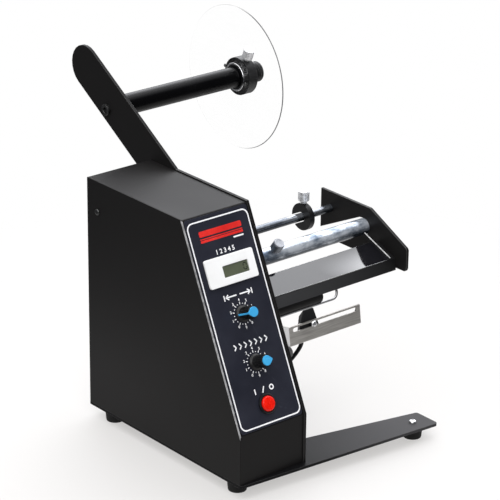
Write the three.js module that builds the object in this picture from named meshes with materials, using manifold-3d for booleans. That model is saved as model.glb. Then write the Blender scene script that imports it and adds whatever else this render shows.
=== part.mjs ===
// Desktop label dispenser: a control box with a roll arm, a tray with a press tube, and a driven
// take-up spindle. Millimetres, Z up. X runs from the box's left wall to the outer plate and Y runs
// to the rear. The pieces are placed from the box's left front corner on the base plate, and the
// last lines move the machine onto its feet.
import * as THREE from "three";
import { mergeVertices } from "three/addons/utils/BufferGeometryUtils.js";
import Module from "manifold-3d";

const wasm = await Module();
wasm.setup();

// Shared clearances, facet counts and angles
const CLEARANCE = 0.3;
const OVERRUN = 6;
const FINE_SIDES = 48;
const ROUND_SIDES = 24;
const SMALL_SIDES = 12;
const WIRE_SIDES = 8;
const HEX_SIDES = 6;
const ARC_STEP = Math.PI / 12;
const QUARTER = Math.PI / 2;
const DEGREE = Math.PI / 180;

// Control box: a folded sheet cover, open below and on its right, with a slanted front
const BOX_WIDTH = 75.9;
const BOX_DEPTH = 230;
const BOX_HEIGHT = 235.4;
const BOX_FRONT_HEIGHT = 49.8;
const SLANT_RUN = 86.3;
const COVER_SHEET = 1.5;
const SLANT_ANGLE = Math.atan2(BOX_HEIGHT - BOX_FRONT_HEIGHT, SLANT_RUN);
const SLANT_LENGTH = Math.hypot(BOX_HEIGHT - BOX_FRONT_HEIGHT, SLANT_RUN);

// Base plate, with its arm under the tray
const BASE_THICKNESS = 3;
const BASE_FRONT_LIP = 1.6;
const BASE_CORNER_RADIUS = 3;
const BASE_ARM_PAST_TRAY = 1.2;
const BASE_ARM_FRONT = 19.5;
const BASE_ARM_END_DEPTH = 29.8;
const BASE_KNEE_SPACING = 34.1;
const BASE_KNEE_Y = 36.2;
const BASE_ROOT_Y = 43.5;

// Rubber feet and their screws
const FOOT_RADIUS = 10;
const FOOT_TAPER = 1.2;
const FOOT_HEIGHT = 12;
const FOOT_SCREW_RADIUS = 2;
const FOOT_SCREW_HEAD_RADIUS = 4.6;
const FOOT_SCREW_HEAD_HEIGHT = 2.6;
const FOOT_SCREW_DEPTH = 11;
const FOOT_INSET = 13;
const FOOT_FRONT_Y = 19.2;
const FOOT_REAR_INSET = 23.6;
const FOOT_ARM_INSET = 18.2;
const FOOT_ARM_Y = -2.9;

// Side plate with the roll arm
const SIDE_THICKNESS = 3;
const SIDE_PROUD = 1.3;
const ARM_ANGLE = 32.5 * DEGREE;
const ARM_WIDTH = 43.5;
const ARM_RISE = 10.4;
const ARM_OVERHANG = 48.5;

// Roll spindle, its bolt and its end cap
const SPINDLE_BEHIND_BOX = 68.5;
const SPINDLE_ABOVE_BOX = 32.2;
const SPINDLE_RADIUS = 10.6;
const SPINDLE_BORE_RADIUS = 8.6;
const SPINDLE_LENGTH = 185;
const SPINDLE_PLUG_LENGTH = 22;
const SPINDLE_CAP_LENGTH = 5;
const SPINDLE_CAP_CHAMFER = 1;
const SPINDLE_PLUG_FIT = 14;
const SPINDLE_BOLT_RADIUS = 4;
const SPINDLE_BOLT_REACH = 16;
const SPINDLE_BOLT_HEAD_RADIUS = 5.8;
const SPINDLE_BOLT_HEAD_HEIGHT = 3;
const SPINDLE_BOLT_SOCKET_RADIUS = 2.9;
const SPINDLE_BOLT_SOCKET_DEPTH = 2.2;
const BOLT_FACE_SHARE = 0.85;

// Roll hub: clear disc on a collar, a bright ring in the disc's bore, two screws and a thumb screw
const DISC_TO_SPINDLE_END = 25.4;
const DISC_RADIUS = 74.8;
const DISC_THICKNESS = 3;
const HUB_RADIUS = 19.6;
const DISC_BORE_RADIUS = 14.8;
const HUB_COLLAR_LENGTH = 11.5;
const HUB_RUNNING_GAP = 0.3;
const HUB_RING_PROUD = 0.8;
const HUB_NOSE_PROUD = 0.4;
const HUB_NOSE_WALL = 2;
const HUB_SCREW_CIRCLE_RADIUS = 17.3;
const HUB_SCREW_RADIUS = 1.1;
const HUB_SCREW_HEAD_RADIUS = 1.9;
const HUB_SCREW_HEAD_HEIGHT = 1.4;
const HUB_SCREW_REACH = 6;
const HUB_SCREW_ANGLES = [29 * DEGREE, 191 * DEGREE];
const HUB_THUMB_ANGLE = 112 * DEGREE;

// Knurled thumb screws
const THUMB_SHANK_RADIUS = 2;
const THUMB_HEAD_RADIUS = 5;
const THUMB_HEAD_LENGTH = 8;
const THUMB_NECK_RADIUS = 3;
const THUMB_NECK_LENGTH = 2.2;
const THUMB_KNURL_DEPTH = 0.45;
const THUMB_KNURLS = 18;

// Tray: support sheet, glossy peel plate, guide rod, press tube and outer plate
const TRAY_GAP = 153.1;
const OUTER_THICKNESS = 3;
const TRAY_FRONT_Y = 46.7;
const TRAY_FRONT_Z = 152.3;
const TRAY_SLOPE = 21.5 * DEGREE;
const TRAY_SHEET = 1.5;
const TRAY_LIP_HEIGHT = 11.6;
const TRAY_LIP_LEAN = 8 * DEGREE;
const TRAY_DEPTH = 27.5;
const TRAY_SIDE_MARGIN = 8.6;
const TRAY_UPSTAND_LENGTH = 40;
const TRAY_UPSTAND_HEIGHT = 1.4;
const PEEL_SHEET = 1.2;

const ROD_Y = 141.7;
const ROD_Z = 174.1;
const ROD_RADIUS = 4;
const GUIDE_SPACING = 114.6;
const GUIDE_RADIUS = 13.8;
const GUIDE_THICKNESS = 6;
const GUIDE_SLOT_WIDTH = 9.8;
const GUIDE_SLOT_ANGLE = -27 * DEGREE;
const GUIDE_THUMB_ANGLE = 90 * DEGREE;

const TUBE_Y = 93;
const TUBE_Z = 170.15;
const TUBE_RADIUS = 8;
const TUBE_WALL = 1.4;
const TUBE_PROUD = 0.6;
const TUBE_SLOT_GAP = 0.3;
const TUBE_THUMB_SPACING = 34.1;
const TUBE_THUMB_ANGLE = 128 * DEGREE;

// Outer plate, measured from the press tube
const OUTER_FRONT = 61.5;
const OUTER_BOTTOM = 28.7;
const OUTER_FRONT_TOP = 4.9;
const OUTER_PEAK_FRONT = 8.4;
const OUTER_PEAK = 21.1;
const OUTER_REAR = 63.2;
const OUTER_SLOT_ANGLE = -26 * DEGREE;
const OUTER_SLOT_BEND = 3;
const OUTER_CORNER_RADIUS = 4;

// Take-up drive: spindle, bush, gear pair and gear motor
const TAKEUP_TO_REAR = 80;
const TAKEUP_Z = 79;
const TAKEUP_RADIUS = 7.5;
const TAKEUP_END_GAP = 5;
const TAKEUP_SHAFT_RADIUS = 4;
const TAKEUP_GROOVE = 0.9;
const TAKEUP_CHAMFER = 1;
const BUSH_RADIUS = 10;
const BUSH_FLANGE_RADIUS = 13.5;
const BUSH_FLANGE_THICKNESS = 2.4;
const BUSH_INNER_LENGTH = 8;
const SHAFT_CLEARANCE = 0.1;
const GEAR_MODULE = 1.5;
const GEAR_TEETH = 40;
const PINION_TEETH = 16;
const GEAR_WIDTH = 8;
const GEAR_GAP_TO_BUSH = 3;
const GEAR_BACKLASH = 0.12;
const GEAR_WEB_THICKNESS = 3;
const GEAR_FLANK_STEPS = 2;
const DEDENDUM_SHARE = 1.25;
const GEAR_RIM = 4;
const GEAR_HUB_RADIUS = 8;
const PRESSURE_ANGLE = 20 * DEGREE;
const PINION_HUB_RADIUS = 7;
const PINION_HUB_LENGTH = 3.5;
const PINION_SHAFT_RADIUS = 3.5;
const PINION_SHAFT_DEPTH = 8;
const BRACKET_SHEET = 2;
const BRACKET_MARGIN = 9;
const BRACKET_FOOT = 14;
const GEARBOX_RADIUS = 29;
const GEARBOX_THICKNESS = 14;
const MOTOR_RADIUS = 24;
const MOTOR_LENGTH = 21;

// Wire clip of the take-up spindle
const CLIP_WIRE_RADIUS = 1.35;
const CLIP_ROOT_SPACING = 7.1;
const CLIP_BOW = 14.7;
const CLIP_OVERLAP = 2;
const CLIP_STEPS = 16;
const CLIP_ANGLE = 240 * DEGREE;

// Sensor, its bracket and its lead
const SENSOR_FRONT_Y = 23.4;
const SENSOR_FRONT_Z = 109.4;
const SENSOR_LEAN = 8 * DEGREE;
const SENSOR_PLATE_LENGTH = 88.6;
const SENSOR_PLATE_HEIGHT = 18.6;
const SENSOR_SHEET = 1.6;
const SENSOR_FLANGE_DEPTH = 46;
const SENSOR_SLOT_START = 5;
const SENSOR_SLOT_END = 83.6;
const SENSOR_SLOT_WIDTH = 4;
const SENSOR_SLOT_DROP = 3.8;
const SENSOR_SPACING = 26.8;
const SENSOR_WIDTH = 22.8;
const SENSOR_NOSE_WIDTH = 13.5;
const SENSOR_NOSE_RISE = 11;
const SENSOR_DROP = 12;
const SENSOR_DEPTH = 14;
const SENSOR_SCREW_OFFSET = 3.3;
const SENSOR_SCREW_RADIUS = 1.5;
const SENSOR_SCREW_HEAD_RADIUS = 3.3;
const SENSOR_SCREW_HEAD_HEIGHT = 2;
const SENSOR_NUT_RADIUS = 3.2;
const SENSOR_NUT_HEIGHT = 2.4;
const FLANGE_SCREW_SPACING = 13;
const FLANGE_SCREW_REACH = 6;
const LEAD_RADIUS = 2;
const LEAD_STEPS = 26;
const LEAD_BOW = 4;
const LEAD_BOW_SHARES = [0.37, 0.79];
const GROMMET_Y = 46;
const GROMMET_Z = 76;
const GROMMET_RADIUS = 6;
const GROMMET_FLANGE = 1.6;
const GROMMET_REACH = 3;
const LEAD_CLIP_Y = 35;
const LEAD_CLIP_Z = 98;
const LEAD_CLIP_RADIUS = 5.5;
const LEAD_CLIP_LENGTH = 9;

// Control overlay on the slanted front: places along X and up the slant
const OVERLAY_MARGIN = 1.2;
const OVERLAY_SHEET = 0.8;
const OVERLAY_RADIUS = 3;
const COUNTER_SIDE_MARGIN = 9.4;
const COUNTER_UP = 149.9;
const COUNTER_HEIGHT = 27.3;
const COUNTER_RIM = 4.2;
const COUNTER_PROUD = 2.2;
const COUNTER_WINDOW_WIDTH = 30;
const COUNTER_WINDOW_HEIGHT = 10.8;
const COUNTER_WINDOW_MARGIN = 8.4;
const COUNTER_WINDOW_DROP = 1.3;
const COUNTER_GLASS = 1;
const COUNTER_BODY_DEPTH = 26;
const KNOB_UPS = { length: 107.1, speed: 61 };
const KNOB_SKIRT_RADIUS = 7.9;
const KNOB_SKIRT_HEIGHT = 2.4;
const KNOB_BODY_RADIUS = 6.4;
const KNOB_TOP_RADIUS = 5.3;
const KNOB_HEIGHT = 16.3;
const KNOB_LIFT = 0.6;
const KNOB_FLUTES = 12;
const KNOB_FLUTE_RADIUS = 0.7;
const KNOB_CAP_RADIUS = 4.9;
const KNOB_CAP_HEIGHT = 1.5;
const KNOB_POINTER_WIDTH = 1.7;
const KNOB_POINTER_TURNS = { length: Math.PI, speed: 0 };
const POT_RADIUS = 8;
const POT_DEPTH = 10;
const POT_BUSH_RADIUS = 4.6;
const POT_SHAFT_RADIUS = 3;
const POT_SHAFT_DEPTH = 8;
const SWITCH_UP = 21.3;
const SWITCH_BEZEL_RADIUS = 9.6;
const SWITCH_BEZEL_HEIGHT = 2;
const SWITCH_BARREL_RADIUS = 8.4;
const SWITCH_DEPTH = 20;
const BUTTON_RADIUS = 7.2;
const BUTTON_PROUD = 2.4;
const BUTTON_STROKE = 2.5;
const BUTTON_STEM = 5;

// Circuit board, power inlet and cover screw
const BOARD_MARGIN = 6;
const BOARD_FRONT_Y = 38;
const BOARD_DEPTH = 78;
const BOARD_THICKNESS = 1.6;
const BOARD_RISE = 8;
const BOARD_LEG_RADIUS = 3;
const INLET_Z = 26;
const INLET_RADIUS = 5.6;
const INLET_FLANGE_RADIUS = 8;
const INLET_FLANGE = 2;
const INLET_DEPTH = 15;
const INLET_BORE_RADIUS = 3.4;
const INLET_PIN_RADIUS = 1;
const COVER_SCREW_TO_REAR = 16.2;
const COVER_SCREW_TO_TOP = 31;
const SMALL_SCREW_RADIUS = 1.5;
const SMALL_SCREW_HEAD_RADIUS = 3.2;
const SMALL_SCREW_HEAD_HEIGHT = 1.8;
const COVER_SCREW_REACH = 6;

// Places worked out from the sizes above
const SIDE_X = BOX_WIDTH + SIDE_THICKNESS;
const OUTER_X = SIDE_X + TRAY_GAP;
const BASE_ARM_REACH = OUTER_X + BASE_ARM_PAST_TRAY;
const BASE_KNEE_X = SIDE_X + BASE_KNEE_SPACING;
const SPINDLE_Y = BOX_DEPTH + SPINDLE_BEHIND_BOX;
const SPINDLE_Z = BOX_HEIGHT + SPINDLE_ABOVE_BOX;
const SPINDLE_END_X = SIDE_X + SPINDLE_LENGTH;
const DISC_X = SPINDLE_END_X - DISC_TO_SPINDLE_END;
const GUIDE_X = SIDE_X + GUIDE_SPACING;
const TUBE_THUMB_X = SIDE_X + TUBE_THUMB_SPACING;
const TAKEUP_Y = BOX_DEPTH - TAKEUP_TO_REAR;
const TAKEUP_END_X = OUTER_X - TAKEUP_END_GAP;
const CLIP_ROOT_X = SIDE_X + CLIP_ROOT_SPACING;
const BOX_MIDDLE = BOX_WIDTH / 2;
const COUNTER_WIDTH = BOX_WIDTH - 2 * COUNTER_SIDE_MARGIN;
const COUNTER_RIGHT = BOX_MIDDLE + COUNTER_WIDTH / 2;
const COUNTER_WINDOW_X = COUNTER_RIGHT - COUNTER_WINDOW_MARGIN - COUNTER_WINDOW_WIDTH / 2;
const COUNTER_WINDOW_UP = COUNTER_UP - COUNTER_WINDOW_DROP;
const COVER_SCREW_Y = BOX_DEPTH - COVER_SCREW_TO_REAR;
const COVER_SCREW_Z = BOX_HEIGHT - COVER_SCREW_TO_TOP;
const OVERLAY_TOP = CLEARANCE + OVERLAY_SHEET;
const SENSOR_SLOT_UP = SENSOR_PLATE_HEIGHT - SENSOR_SLOT_DROP;

const FINISHES = {
  powderBlack: { color: 0x1e1d1d, roughness: 0.55, metalness: 0.1 },
  glossBlack: { color: 0x141416, roughness: 0.15, metalness: 0.2 },
  plasticBlack: { color: 0x161616, roughness: 0.5, metalness: 0 },
  overlayNavy: { color: 0x2a2b38, roughness: 0.5, metalness: 0 },
  whitePlastic: { color: 0xe8e8e6, roughness: 0.4, metalness: 0 },
  display: { color: 0x8a9078, roughness: 0.25, metalness: 0 },
  skyBlue: { color: 0x3fb4e8, roughness: 0.4, metalness: 0 },
  lensRed: { color: 0xe01c14, roughness: 0.3, metalness: 0 },
  rubber: { color: 0x141414, roughness: 0.85, metalness: 0 },
  brightSteel: { color: 0xb8b8b8, roughness: 0.25, metalness: 1 },
  chrome: { color: 0xd0d4da, roughness: 0.1, metalness: 1 },
  brushedSteel: { color: 0x86827a, roughness: 0.35, metalness: 1 },
  acrylic: { color: 0xf2f6f8, roughness: 0.05, metalness: 0, transparent: true, opacity: 0.25 },
  board: { color: 0x1f5a34, roughness: 0.5, metalness: 0 },
  castGrey: { color: 0x8b8d90, roughness: 0.5, metalness: 0.8 },
  nylon: { color: 0xd9d6c8, roughness: 0.5, metalness: 0 },
  bronze: { color: 0x9a7440, roughness: 0.4, metalness: 0.9 },
};
const materials = Object.fromEntries(
  Object.entries(FINISHES).map(([name, finish]) => [name, new THREE.MeshStandardMaterial(finish)]),
);

// A closed outline through corners [u, v, fillet radius], with an arc where the radius is given.
function roundedOutline(corners) {
  return corners.flatMap(([u, v, radius], i) => {
    const corner = new THREE.Vector2(u, v);
    if (!radius) {
      return [corner];
    }
    const [before, after] = [corners.at(i - 1), corners[(i + 1) % corners.length]].map(
      ([a, b]) => new THREE.Vector2(a, b).sub(corner).normalize(),
    );
    const half = Math.acos(THREE.MathUtils.clamp(before.dot(after), -1, 1)) / 2;
    const inward = before.clone().add(after).normalize();
    const centre = corner.clone().addScaledVector(inward, radius / Math.sin(half));
    const start = corner.clone().addScaledVector(before, radius / Math.tan(half)).sub(centre);
    const end = corner.clone().addScaledVector(after, radius / Math.tan(half)).sub(centre);
    const turn = Math.sign(start.cross(end)) * (Math.PI - 2 * half);
    return arcPoints(centre, radius, start.angle(), turn);
  });
}

// Points along an arc about a centre, from a start angle through a signed turn.
function arcPoints(centre, radius, from, turn) {
  const steps = Math.max(2, Math.ceil(Math.abs(turn) / ARC_STEP));
  return Array.from({ length: steps + 1 }, (_, k) => {
    const angle = from + (turn * k) / steps;
    return new THREE.Vector2(
      centre.x + radius * Math.cos(angle),
      centre.y + radius * Math.sin(angle),
    );
  });
}

function circlePoints(u, v, radius, sides) {
  return Array.from({ length: sides }, (_, k) => {
    const angle = (2 * Math.PI * k) / sides;
    return new THREE.Vector2(u + radius * Math.cos(angle), v + radius * Math.sin(angle));
  });
}

function rectanglePoints(u, v, width, height, radius = 0) {
  return roundedOutline([
    [u - width / 2, v - height / 2, radius],
    [u + width / 2, v - height / 2, radius],
    [u + width / 2, v + height / 2, radius],
    [u - width / 2, v + height / 2, radius],
  ]);
}

// A plate of the outline, cut by the holes, from z = 0 up to the thickness.
function plate(outline, thickness, holes = []) {
  const shape = new THREE.Shape(outline);
  shape.holes = holes.map((hole) => new THREE.Path(hole));
  return new THREE.ExtrudeGeometry(shape, { depth: thickness, bevelEnabled: false });
}

// Turns a plate drawn in (Y, Z) so that its thickness runs along X from the given place.
function acrossX(geometry, x) {
  const basis = new THREE.Matrix4().makeBasis(
    new THREE.Vector3(0, 1, 0),
    new THREE.Vector3(0, 0, 1),
    new THREE.Vector3(1, 0, 0),
  );
  return geometry.applyMatrix4(basis).translate(x, 0, 0);
}

// A turned piece about +Z from a profile of [radius, height] that rises along the outside.
function turned(profile, sides) {
  const points = profile.map(([radius, height]) => new THREE.Vector2(radius, height));
  return new THREE.LatheGeometry(points, sides).rotateX(QUARTER);
}

function cylinder(radius, from, to, sides) {
  return turned([[0, from], [radius, from], [radius, to], [0, to]], sides);
}

// A turned piece laid along +X with its axis through (y, z).
function turnedAlongX(profile, sides, y, z) {
  return turned(profile, sides).rotateY(QUARTER).translate(0, y, z);
}

function cylinderAlongX(radius, from, to, sides, y, z) {
  return cylinder(radius, from, to, sides).rotateY(QUARTER).translate(0, y, z);
}

function box(from, to) {
  const size = new THREE.Vector3(...to).sub(new THREE.Vector3(...from));
  const middle = new THREE.Vector3(...from).addScaledVector(size, 1 / 2);
  return new THREE.BoxGeometry(size.x, size.y, size.z).translate(middle.x, middle.y, middle.z);
}

// A closed geometry as a solid that can be cut and joined, and back.
function solid(geometry) {
  const bare = new THREE.BufferGeometry().setAttribute("position", geometry.getAttribute("position"));
  const merged = mergeVertices(geometry.index ? bare.setIndex(geometry.index) : bare);
  return new wasm.Manifold(
    new wasm.Mesh({
      numProp: 3,
      vertProperties: new Float32Array(merged.attributes.position.array),
      triVerts: new Uint32Array(merged.index.array),
    }),
  );
}

function surface(body) {
  const mesh = body.getMesh();
  const positions = new THREE.BufferAttribute(mesh.vertProperties, mesh.numProp);
  const geometry = new THREE.BufferGeometry().setAttribute("position", positions);
  geometry.setIndex(new THREE.BufferAttribute(mesh.triVerts, 1));
  geometry.computeVertexNormals();
  return geometry;
}

function cut(geometry, ...tools) {
  return surface(tools.reduce((body, tool) => body.subtract(solid(tool)), solid(geometry)));
}

function joined(...geometries) {
  return surface(geometries.map(solid).reduce((body, other) => body.add(other)));
}

function add(parent, name, finish, geometry) {
  const mesh = new THREE.Mesh(geometry, materials[finish]);
  mesh.name = name;
  parent.add(mesh);
  return mesh;
}

// The slanted front's height at a depth y, moved outward by an offset, and the other way round.
function slantHeight(y, offset) {
  return BOX_FRONT_HEIGHT + (y + offset / Math.sin(SLANT_ANGLE)) * Math.tan(SLANT_ANGLE);
}

function slantDepth(z, offset) {
  return (z - BOX_FRONT_HEIGHT) / Math.tan(SLANT_ANGLE) - offset / Math.sin(SLANT_ANGLE);
}

// The box's profile in (Y, Z), moved outward by an offset and ending at the given foot height.
function boxProfile(offset, foot) {
  return [
    [BOX_DEPTH + offset, foot],
    [BOX_DEPTH + offset, BOX_HEIGHT + offset],
    [slantDepth(BOX_HEIGHT + offset, offset), BOX_HEIGHT + offset],
    [-offset, slantHeight(-offset, offset)],
    [-offset, foot],
  ];
}

const machine = new THREE.Group();

// Base plate
const feet = {
  front_left: [FOOT_INSET, FOOT_FRONT_Y],
  rear_left: [FOOT_INSET, BOX_DEPTH - FOOT_REAR_INSET],
  rear_right: [BOX_WIDTH - FOOT_INSET, BOX_DEPTH - FOOT_REAR_INSET],
  arm: [BASE_ARM_REACH - FOOT_ARM_INSET, FOOT_ARM_Y],
};
const baseOutline = roundedOutline([
  [0, -BASE_FRONT_LIP, BASE_CORNER_RADIUS],
  [BASE_ARM_REACH, -BASE_ARM_FRONT, BASE_CORNER_RADIUS],
  [BASE_ARM_REACH, BASE_ARM_END_DEPTH - BASE_ARM_FRONT, BASE_CORNER_RADIUS],
  [BASE_KNEE_X, BASE_KNEE_Y],
  [SIDE_X, BASE_ROOT_Y],
  [SIDE_X, BOX_DEPTH],
  [0, BOX_DEPTH],
]);
const footHoles = Object.values(feet).map(([x, y]) =>
  circlePoints(x, y, FOOT_SCREW_RADIUS + CLEARANCE, SMALL_SIDES),
);
add(
  machine,
  "base_plate",
  "powderBlack",
  plate(baseOutline, BASE_THICKNESS, footHoles).translate(0, 0, -BASE_THICKNESS),
);

// Feet and foot screws
const footProfile = [
  [0, 0],
  [FOOT_RADIUS - FOOT_TAPER, 0],
  [FOOT_RADIUS, FOOT_HEIGHT],
  [FOOT_SCREW_RADIUS + CLEARANCE, FOOT_HEIGHT],
  [FOOT_SCREW_RADIUS + CLEARANCE, FOOT_HEIGHT - FOOT_SCREW_DEPTH + BASE_THICKNESS - CLEARANCE],
  [0, FOOT_HEIGHT - FOOT_SCREW_DEPTH + BASE_THICKNESS - CLEARANCE],
];
const domeShare = [[1, 0], [0.96, 0.4], [0.75, 0.8], [0.4, 1], [0, 1]];
for (const [place, [x, y]] of Object.entries(feet)) {
  const foot = turned(footProfile, ROUND_SIDES).translate(x, y, -BASE_THICKNESS - FOOT_HEIGHT);
  add(machine, "foot_" + place, "rubber", foot);
  const screwProfile = [
    [0, -FOOT_SCREW_DEPTH],
    [FOOT_SCREW_RADIUS, -FOOT_SCREW_DEPTH],
    [FOOT_SCREW_RADIUS, 0],
    ...domeShare.map(([across, up]) => [
      FOOT_SCREW_HEAD_RADIUS * across,
      FOOT_SCREW_HEAD_HEIGHT * up,
    ]),
  ];
  const screw = turned(screwProfile, SMALL_SIDES).translate(x, y, 0);
  add(machine, "foot_screw_" + place, "brightSteel", screw);
}

// Side plate with the roll arm in one piece
const spindleCentre = new THREE.Vector2(SPINDLE_Y, SPINDLE_Z);
const armAlong = new THREE.Vector2(Math.cos(ARM_ANGLE), Math.sin(ARM_ANGLE));
const armAcross = new THREE.Vector2(-Math.sin(ARM_ANGLE), Math.cos(ARM_ANGLE));
const armEnd = spindleCentre
  .clone()
  .addScaledVector(armAlong, ARM_OVERHANG)
  .addScaledVector(armAcross, ARM_RISE);
const armTopEdge = armEnd.clone().addScaledVector(armAcross, ARM_WIDTH / 2);
const armLowEdge = armEnd.clone().addScaledVector(armAcross, -ARM_WIDTH / 2);
const sideTop = BOX_HEIGHT + SIDE_PROUD;
const armRootY = armTopEdge.x - (armTopEdge.y - sideTop) / Math.tan(ARM_ANGLE);
const armLowZ = armLowEdge.y - (armLowEdge.x - BOX_DEPTH) * Math.tan(ARM_ANGLE);
const sideOutline = [
  new THREE.Vector2(-SIDE_PROUD, 0),
  new THREE.Vector2(BOX_DEPTH, 0),
  new THREE.Vector2(BOX_DEPTH, armLowZ),
  ...arcPoints(armEnd, ARM_WIDTH / 2, ARM_ANGLE - QUARTER, Math.PI),
  new THREE.Vector2(armRootY, sideTop),
  new THREE.Vector2(slantDepth(sideTop, SIDE_PROUD), sideTop),
  new THREE.Vector2(-SIDE_PROUD, slantHeight(-SIDE_PROUD, SIDE_PROUD)),
];
const flangeScrewPlaces = [1, 2].map((k) => {
  const back = SENSOR_FLANGE_DEPTH - k * FLANGE_SCREW_SPACING + FLANGE_SCREW_SPACING / 2;
  const up = SENSOR_PLATE_HEIGHT / 2;
  return [
    SENSOR_FRONT_Y + back * Math.cos(SENSOR_LEAN) + up * Math.sin(SENSOR_LEAN),
    SENSOR_FRONT_Z - back * Math.sin(SENSOR_LEAN) + up * Math.cos(SENSOR_LEAN),
  ];
});
const sideHoles = [
  circlePoints(SPINDLE_Y, SPINDLE_Z, SPINDLE_BOLT_RADIUS + CLEARANCE, SMALL_SIDES),
  circlePoints(TAKEUP_Y, TAKEUP_Z, BUSH_RADIUS + CLEARANCE, ROUND_SIDES),
  circlePoints(GROMMET_Y, GROMMET_Z, GROMMET_RADIUS + CLEARANCE, SMALL_SIDES),
  circlePoints(LEAD_CLIP_Y, LEAD_CLIP_Z, SMALL_SCREW_RADIUS + CLEARANCE, SMALL_SIDES),
  ...flangeScrewPlaces.map(([y, z]) =>
    circlePoints(y, z, SMALL_SCREW_RADIUS + CLEARANCE, SMALL_SIDES),
  ),
];
add(
  machine,
  "side_plate",
  "powderBlack",
  acrossX(plate(sideOutline, SIDE_THICKNESS, sideHoles), BOX_WIDTH),
);

// Folded cover, with the openings of the control panel, the rear inlet and the cover screw
const slantFront = new THREE.Group();
slantFront.position.set(0, 0, BOX_FRONT_HEIGHT);
slantFront.rotation.x = SLANT_ANGLE;
slantFront.updateMatrix();
machine.add(slantFront);
const panelHoles = {
  counter: rectanglePoints(
    BOX_MIDDLE,
    COUNTER_UP,
    COUNTER_WIDTH - 2 * COUNTER_RIM + 2 * CLEARANCE,
    COUNTER_HEIGHT - 2 * COUNTER_RIM + 2 * CLEARANCE,
  ),
  ...Object.fromEntries(
    Object.entries(KNOB_UPS).map(([dial, up]) => [
      dial,
      circlePoints(BOX_MIDDLE, up, POT_BUSH_RADIUS + CLEARANCE, SMALL_SIDES),
    ]),
  ),
  power: circlePoints(BOX_MIDDLE, SWITCH_UP, SWITCH_BARREL_RADIUS + CLEARANCE, ROUND_SIDES),
};
const panelCutters = Object.values(panelHoles).map((hole) =>
  plate(hole, COVER_SHEET + 2 * OVERRUN)
    .translate(0, 0, -COVER_SHEET - OVERRUN)
    .applyMatrix4(slantFront.matrix),
);
const coverOutside = acrossX(plate(roundedOutline(boxProfile(0, 0)), BOX_WIDTH), 0);
const coverInside = acrossX(
  plate(roundedOutline(boxProfile(-COVER_SHEET, -OVERRUN)), BOX_WIDTH),
  COVER_SHEET,
);
const inletHole = cylinder(INLET_RADIUS + CLEARANCE, -OVERRUN, OVERRUN, SMALL_SIDES)
  .rotateX(QUARTER)
  .translate(BOX_MIDDLE, BOX_DEPTH, INLET_Z);
const coverScrewHole = cylinderAlongX(
  SMALL_SCREW_RADIUS + CLEARANCE,
  -OVERRUN,
  OVERRUN,
  SMALL_SIDES,
  COVER_SCREW_Y,
  COVER_SCREW_Z,
);
add(
  machine,
  "cover_shell",
  "powderBlack",
  cut(coverOutside, coverInside, inletHole, coverScrewHole, ...panelCutters),
);

// A small dome-headed screw about +Z: head above z = 0 and shank down to the reach
function smallScrew(reach, radius, headRadius, headHeight) {
  return turned(
    [
      [0, -reach],
      [radius, -reach],
      [radius, 0],
      ...domeShare.map(([across, up]) => [headRadius * across, headHeight * up]),
    ],
    SMALL_SIDES,
  );
}

add(
  machine,
  "cover_screw",
  "brightSteel",
  smallScrew(COVER_SCREW_REACH, SMALL_SCREW_RADIUS, SMALL_SCREW_HEAD_RADIUS, SMALL_SCREW_HEAD_HEIGHT)
    .rotateY(-QUARTER)
    .translate(0, COVER_SCREW_Y, COVER_SCREW_Z),
);

// Control overlay, in the slanted front's own frame: X across, Y up the slant, Z outward
const overlayOutline = rectanglePoints(
  BOX_WIDTH / 2,
  SLANT_LENGTH / 2,
  BOX_WIDTH - 2 * OVERLAY_MARGIN,
  SLANT_LENGTH - 2 * OVERLAY_MARGIN,
  OVERLAY_RADIUS,
);
add(
  slantFront,
  "control_panel",
  "overlayNavy",
  plate(overlayOutline, OVERLAY_SHEET, Object.values(panelHoles)).translate(0, 0, CLEARANCE),
);

// Counter: bezel with a window, display glass in it, and the body behind the panel
const counterWindow = rectanglePoints(
  COUNTER_WINDOW_X,
  COUNTER_WINDOW_UP,
  COUNTER_WINDOW_WIDTH,
  COUNTER_WINDOW_HEIGHT,
);
const counterFace = OVERLAY_TOP + CLEARANCE;
const bezelOutline = rectanglePoints(
  BOX_MIDDLE,
  COUNTER_UP,
  COUNTER_WIDTH,
  COUNTER_HEIGHT,
  COUNTER_PROUD,
);
add(
  slantFront,
  "counter_bezel",
  "whitePlastic",
  plate(bezelOutline, COUNTER_PROUD, [counterWindow]).translate(0, 0, counterFace),
);
const displayOutline = rectanglePoints(
  COUNTER_WINDOW_X,
  COUNTER_WINDOW_UP,
  COUNTER_WINDOW_WIDTH - 2 * CLEARANCE,
  COUNTER_WINDOW_HEIGHT - 2 * CLEARANCE,
);
add(
  slantFront,
  "counter_display",
  "display",
  plate(displayOutline, COUNTER_GLASS).translate(0, 0, counterFace),
);
const counterBodyOutline = rectanglePoints(
  BOX_MIDDLE,
  COUNTER_UP,
  COUNTER_WIDTH - 2 * COUNTER_RIM,
  COUNTER_HEIGHT - 2 * COUNTER_RIM,
);
add(
  slantFront,
  "counter_body",
  "plasticBlack",
  plate(counterBodyOutline, COUNTER_BODY_DEPTH).translate(0, 0, OVERLAY_TOP - COUNTER_BODY_DEPTH),
);

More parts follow.
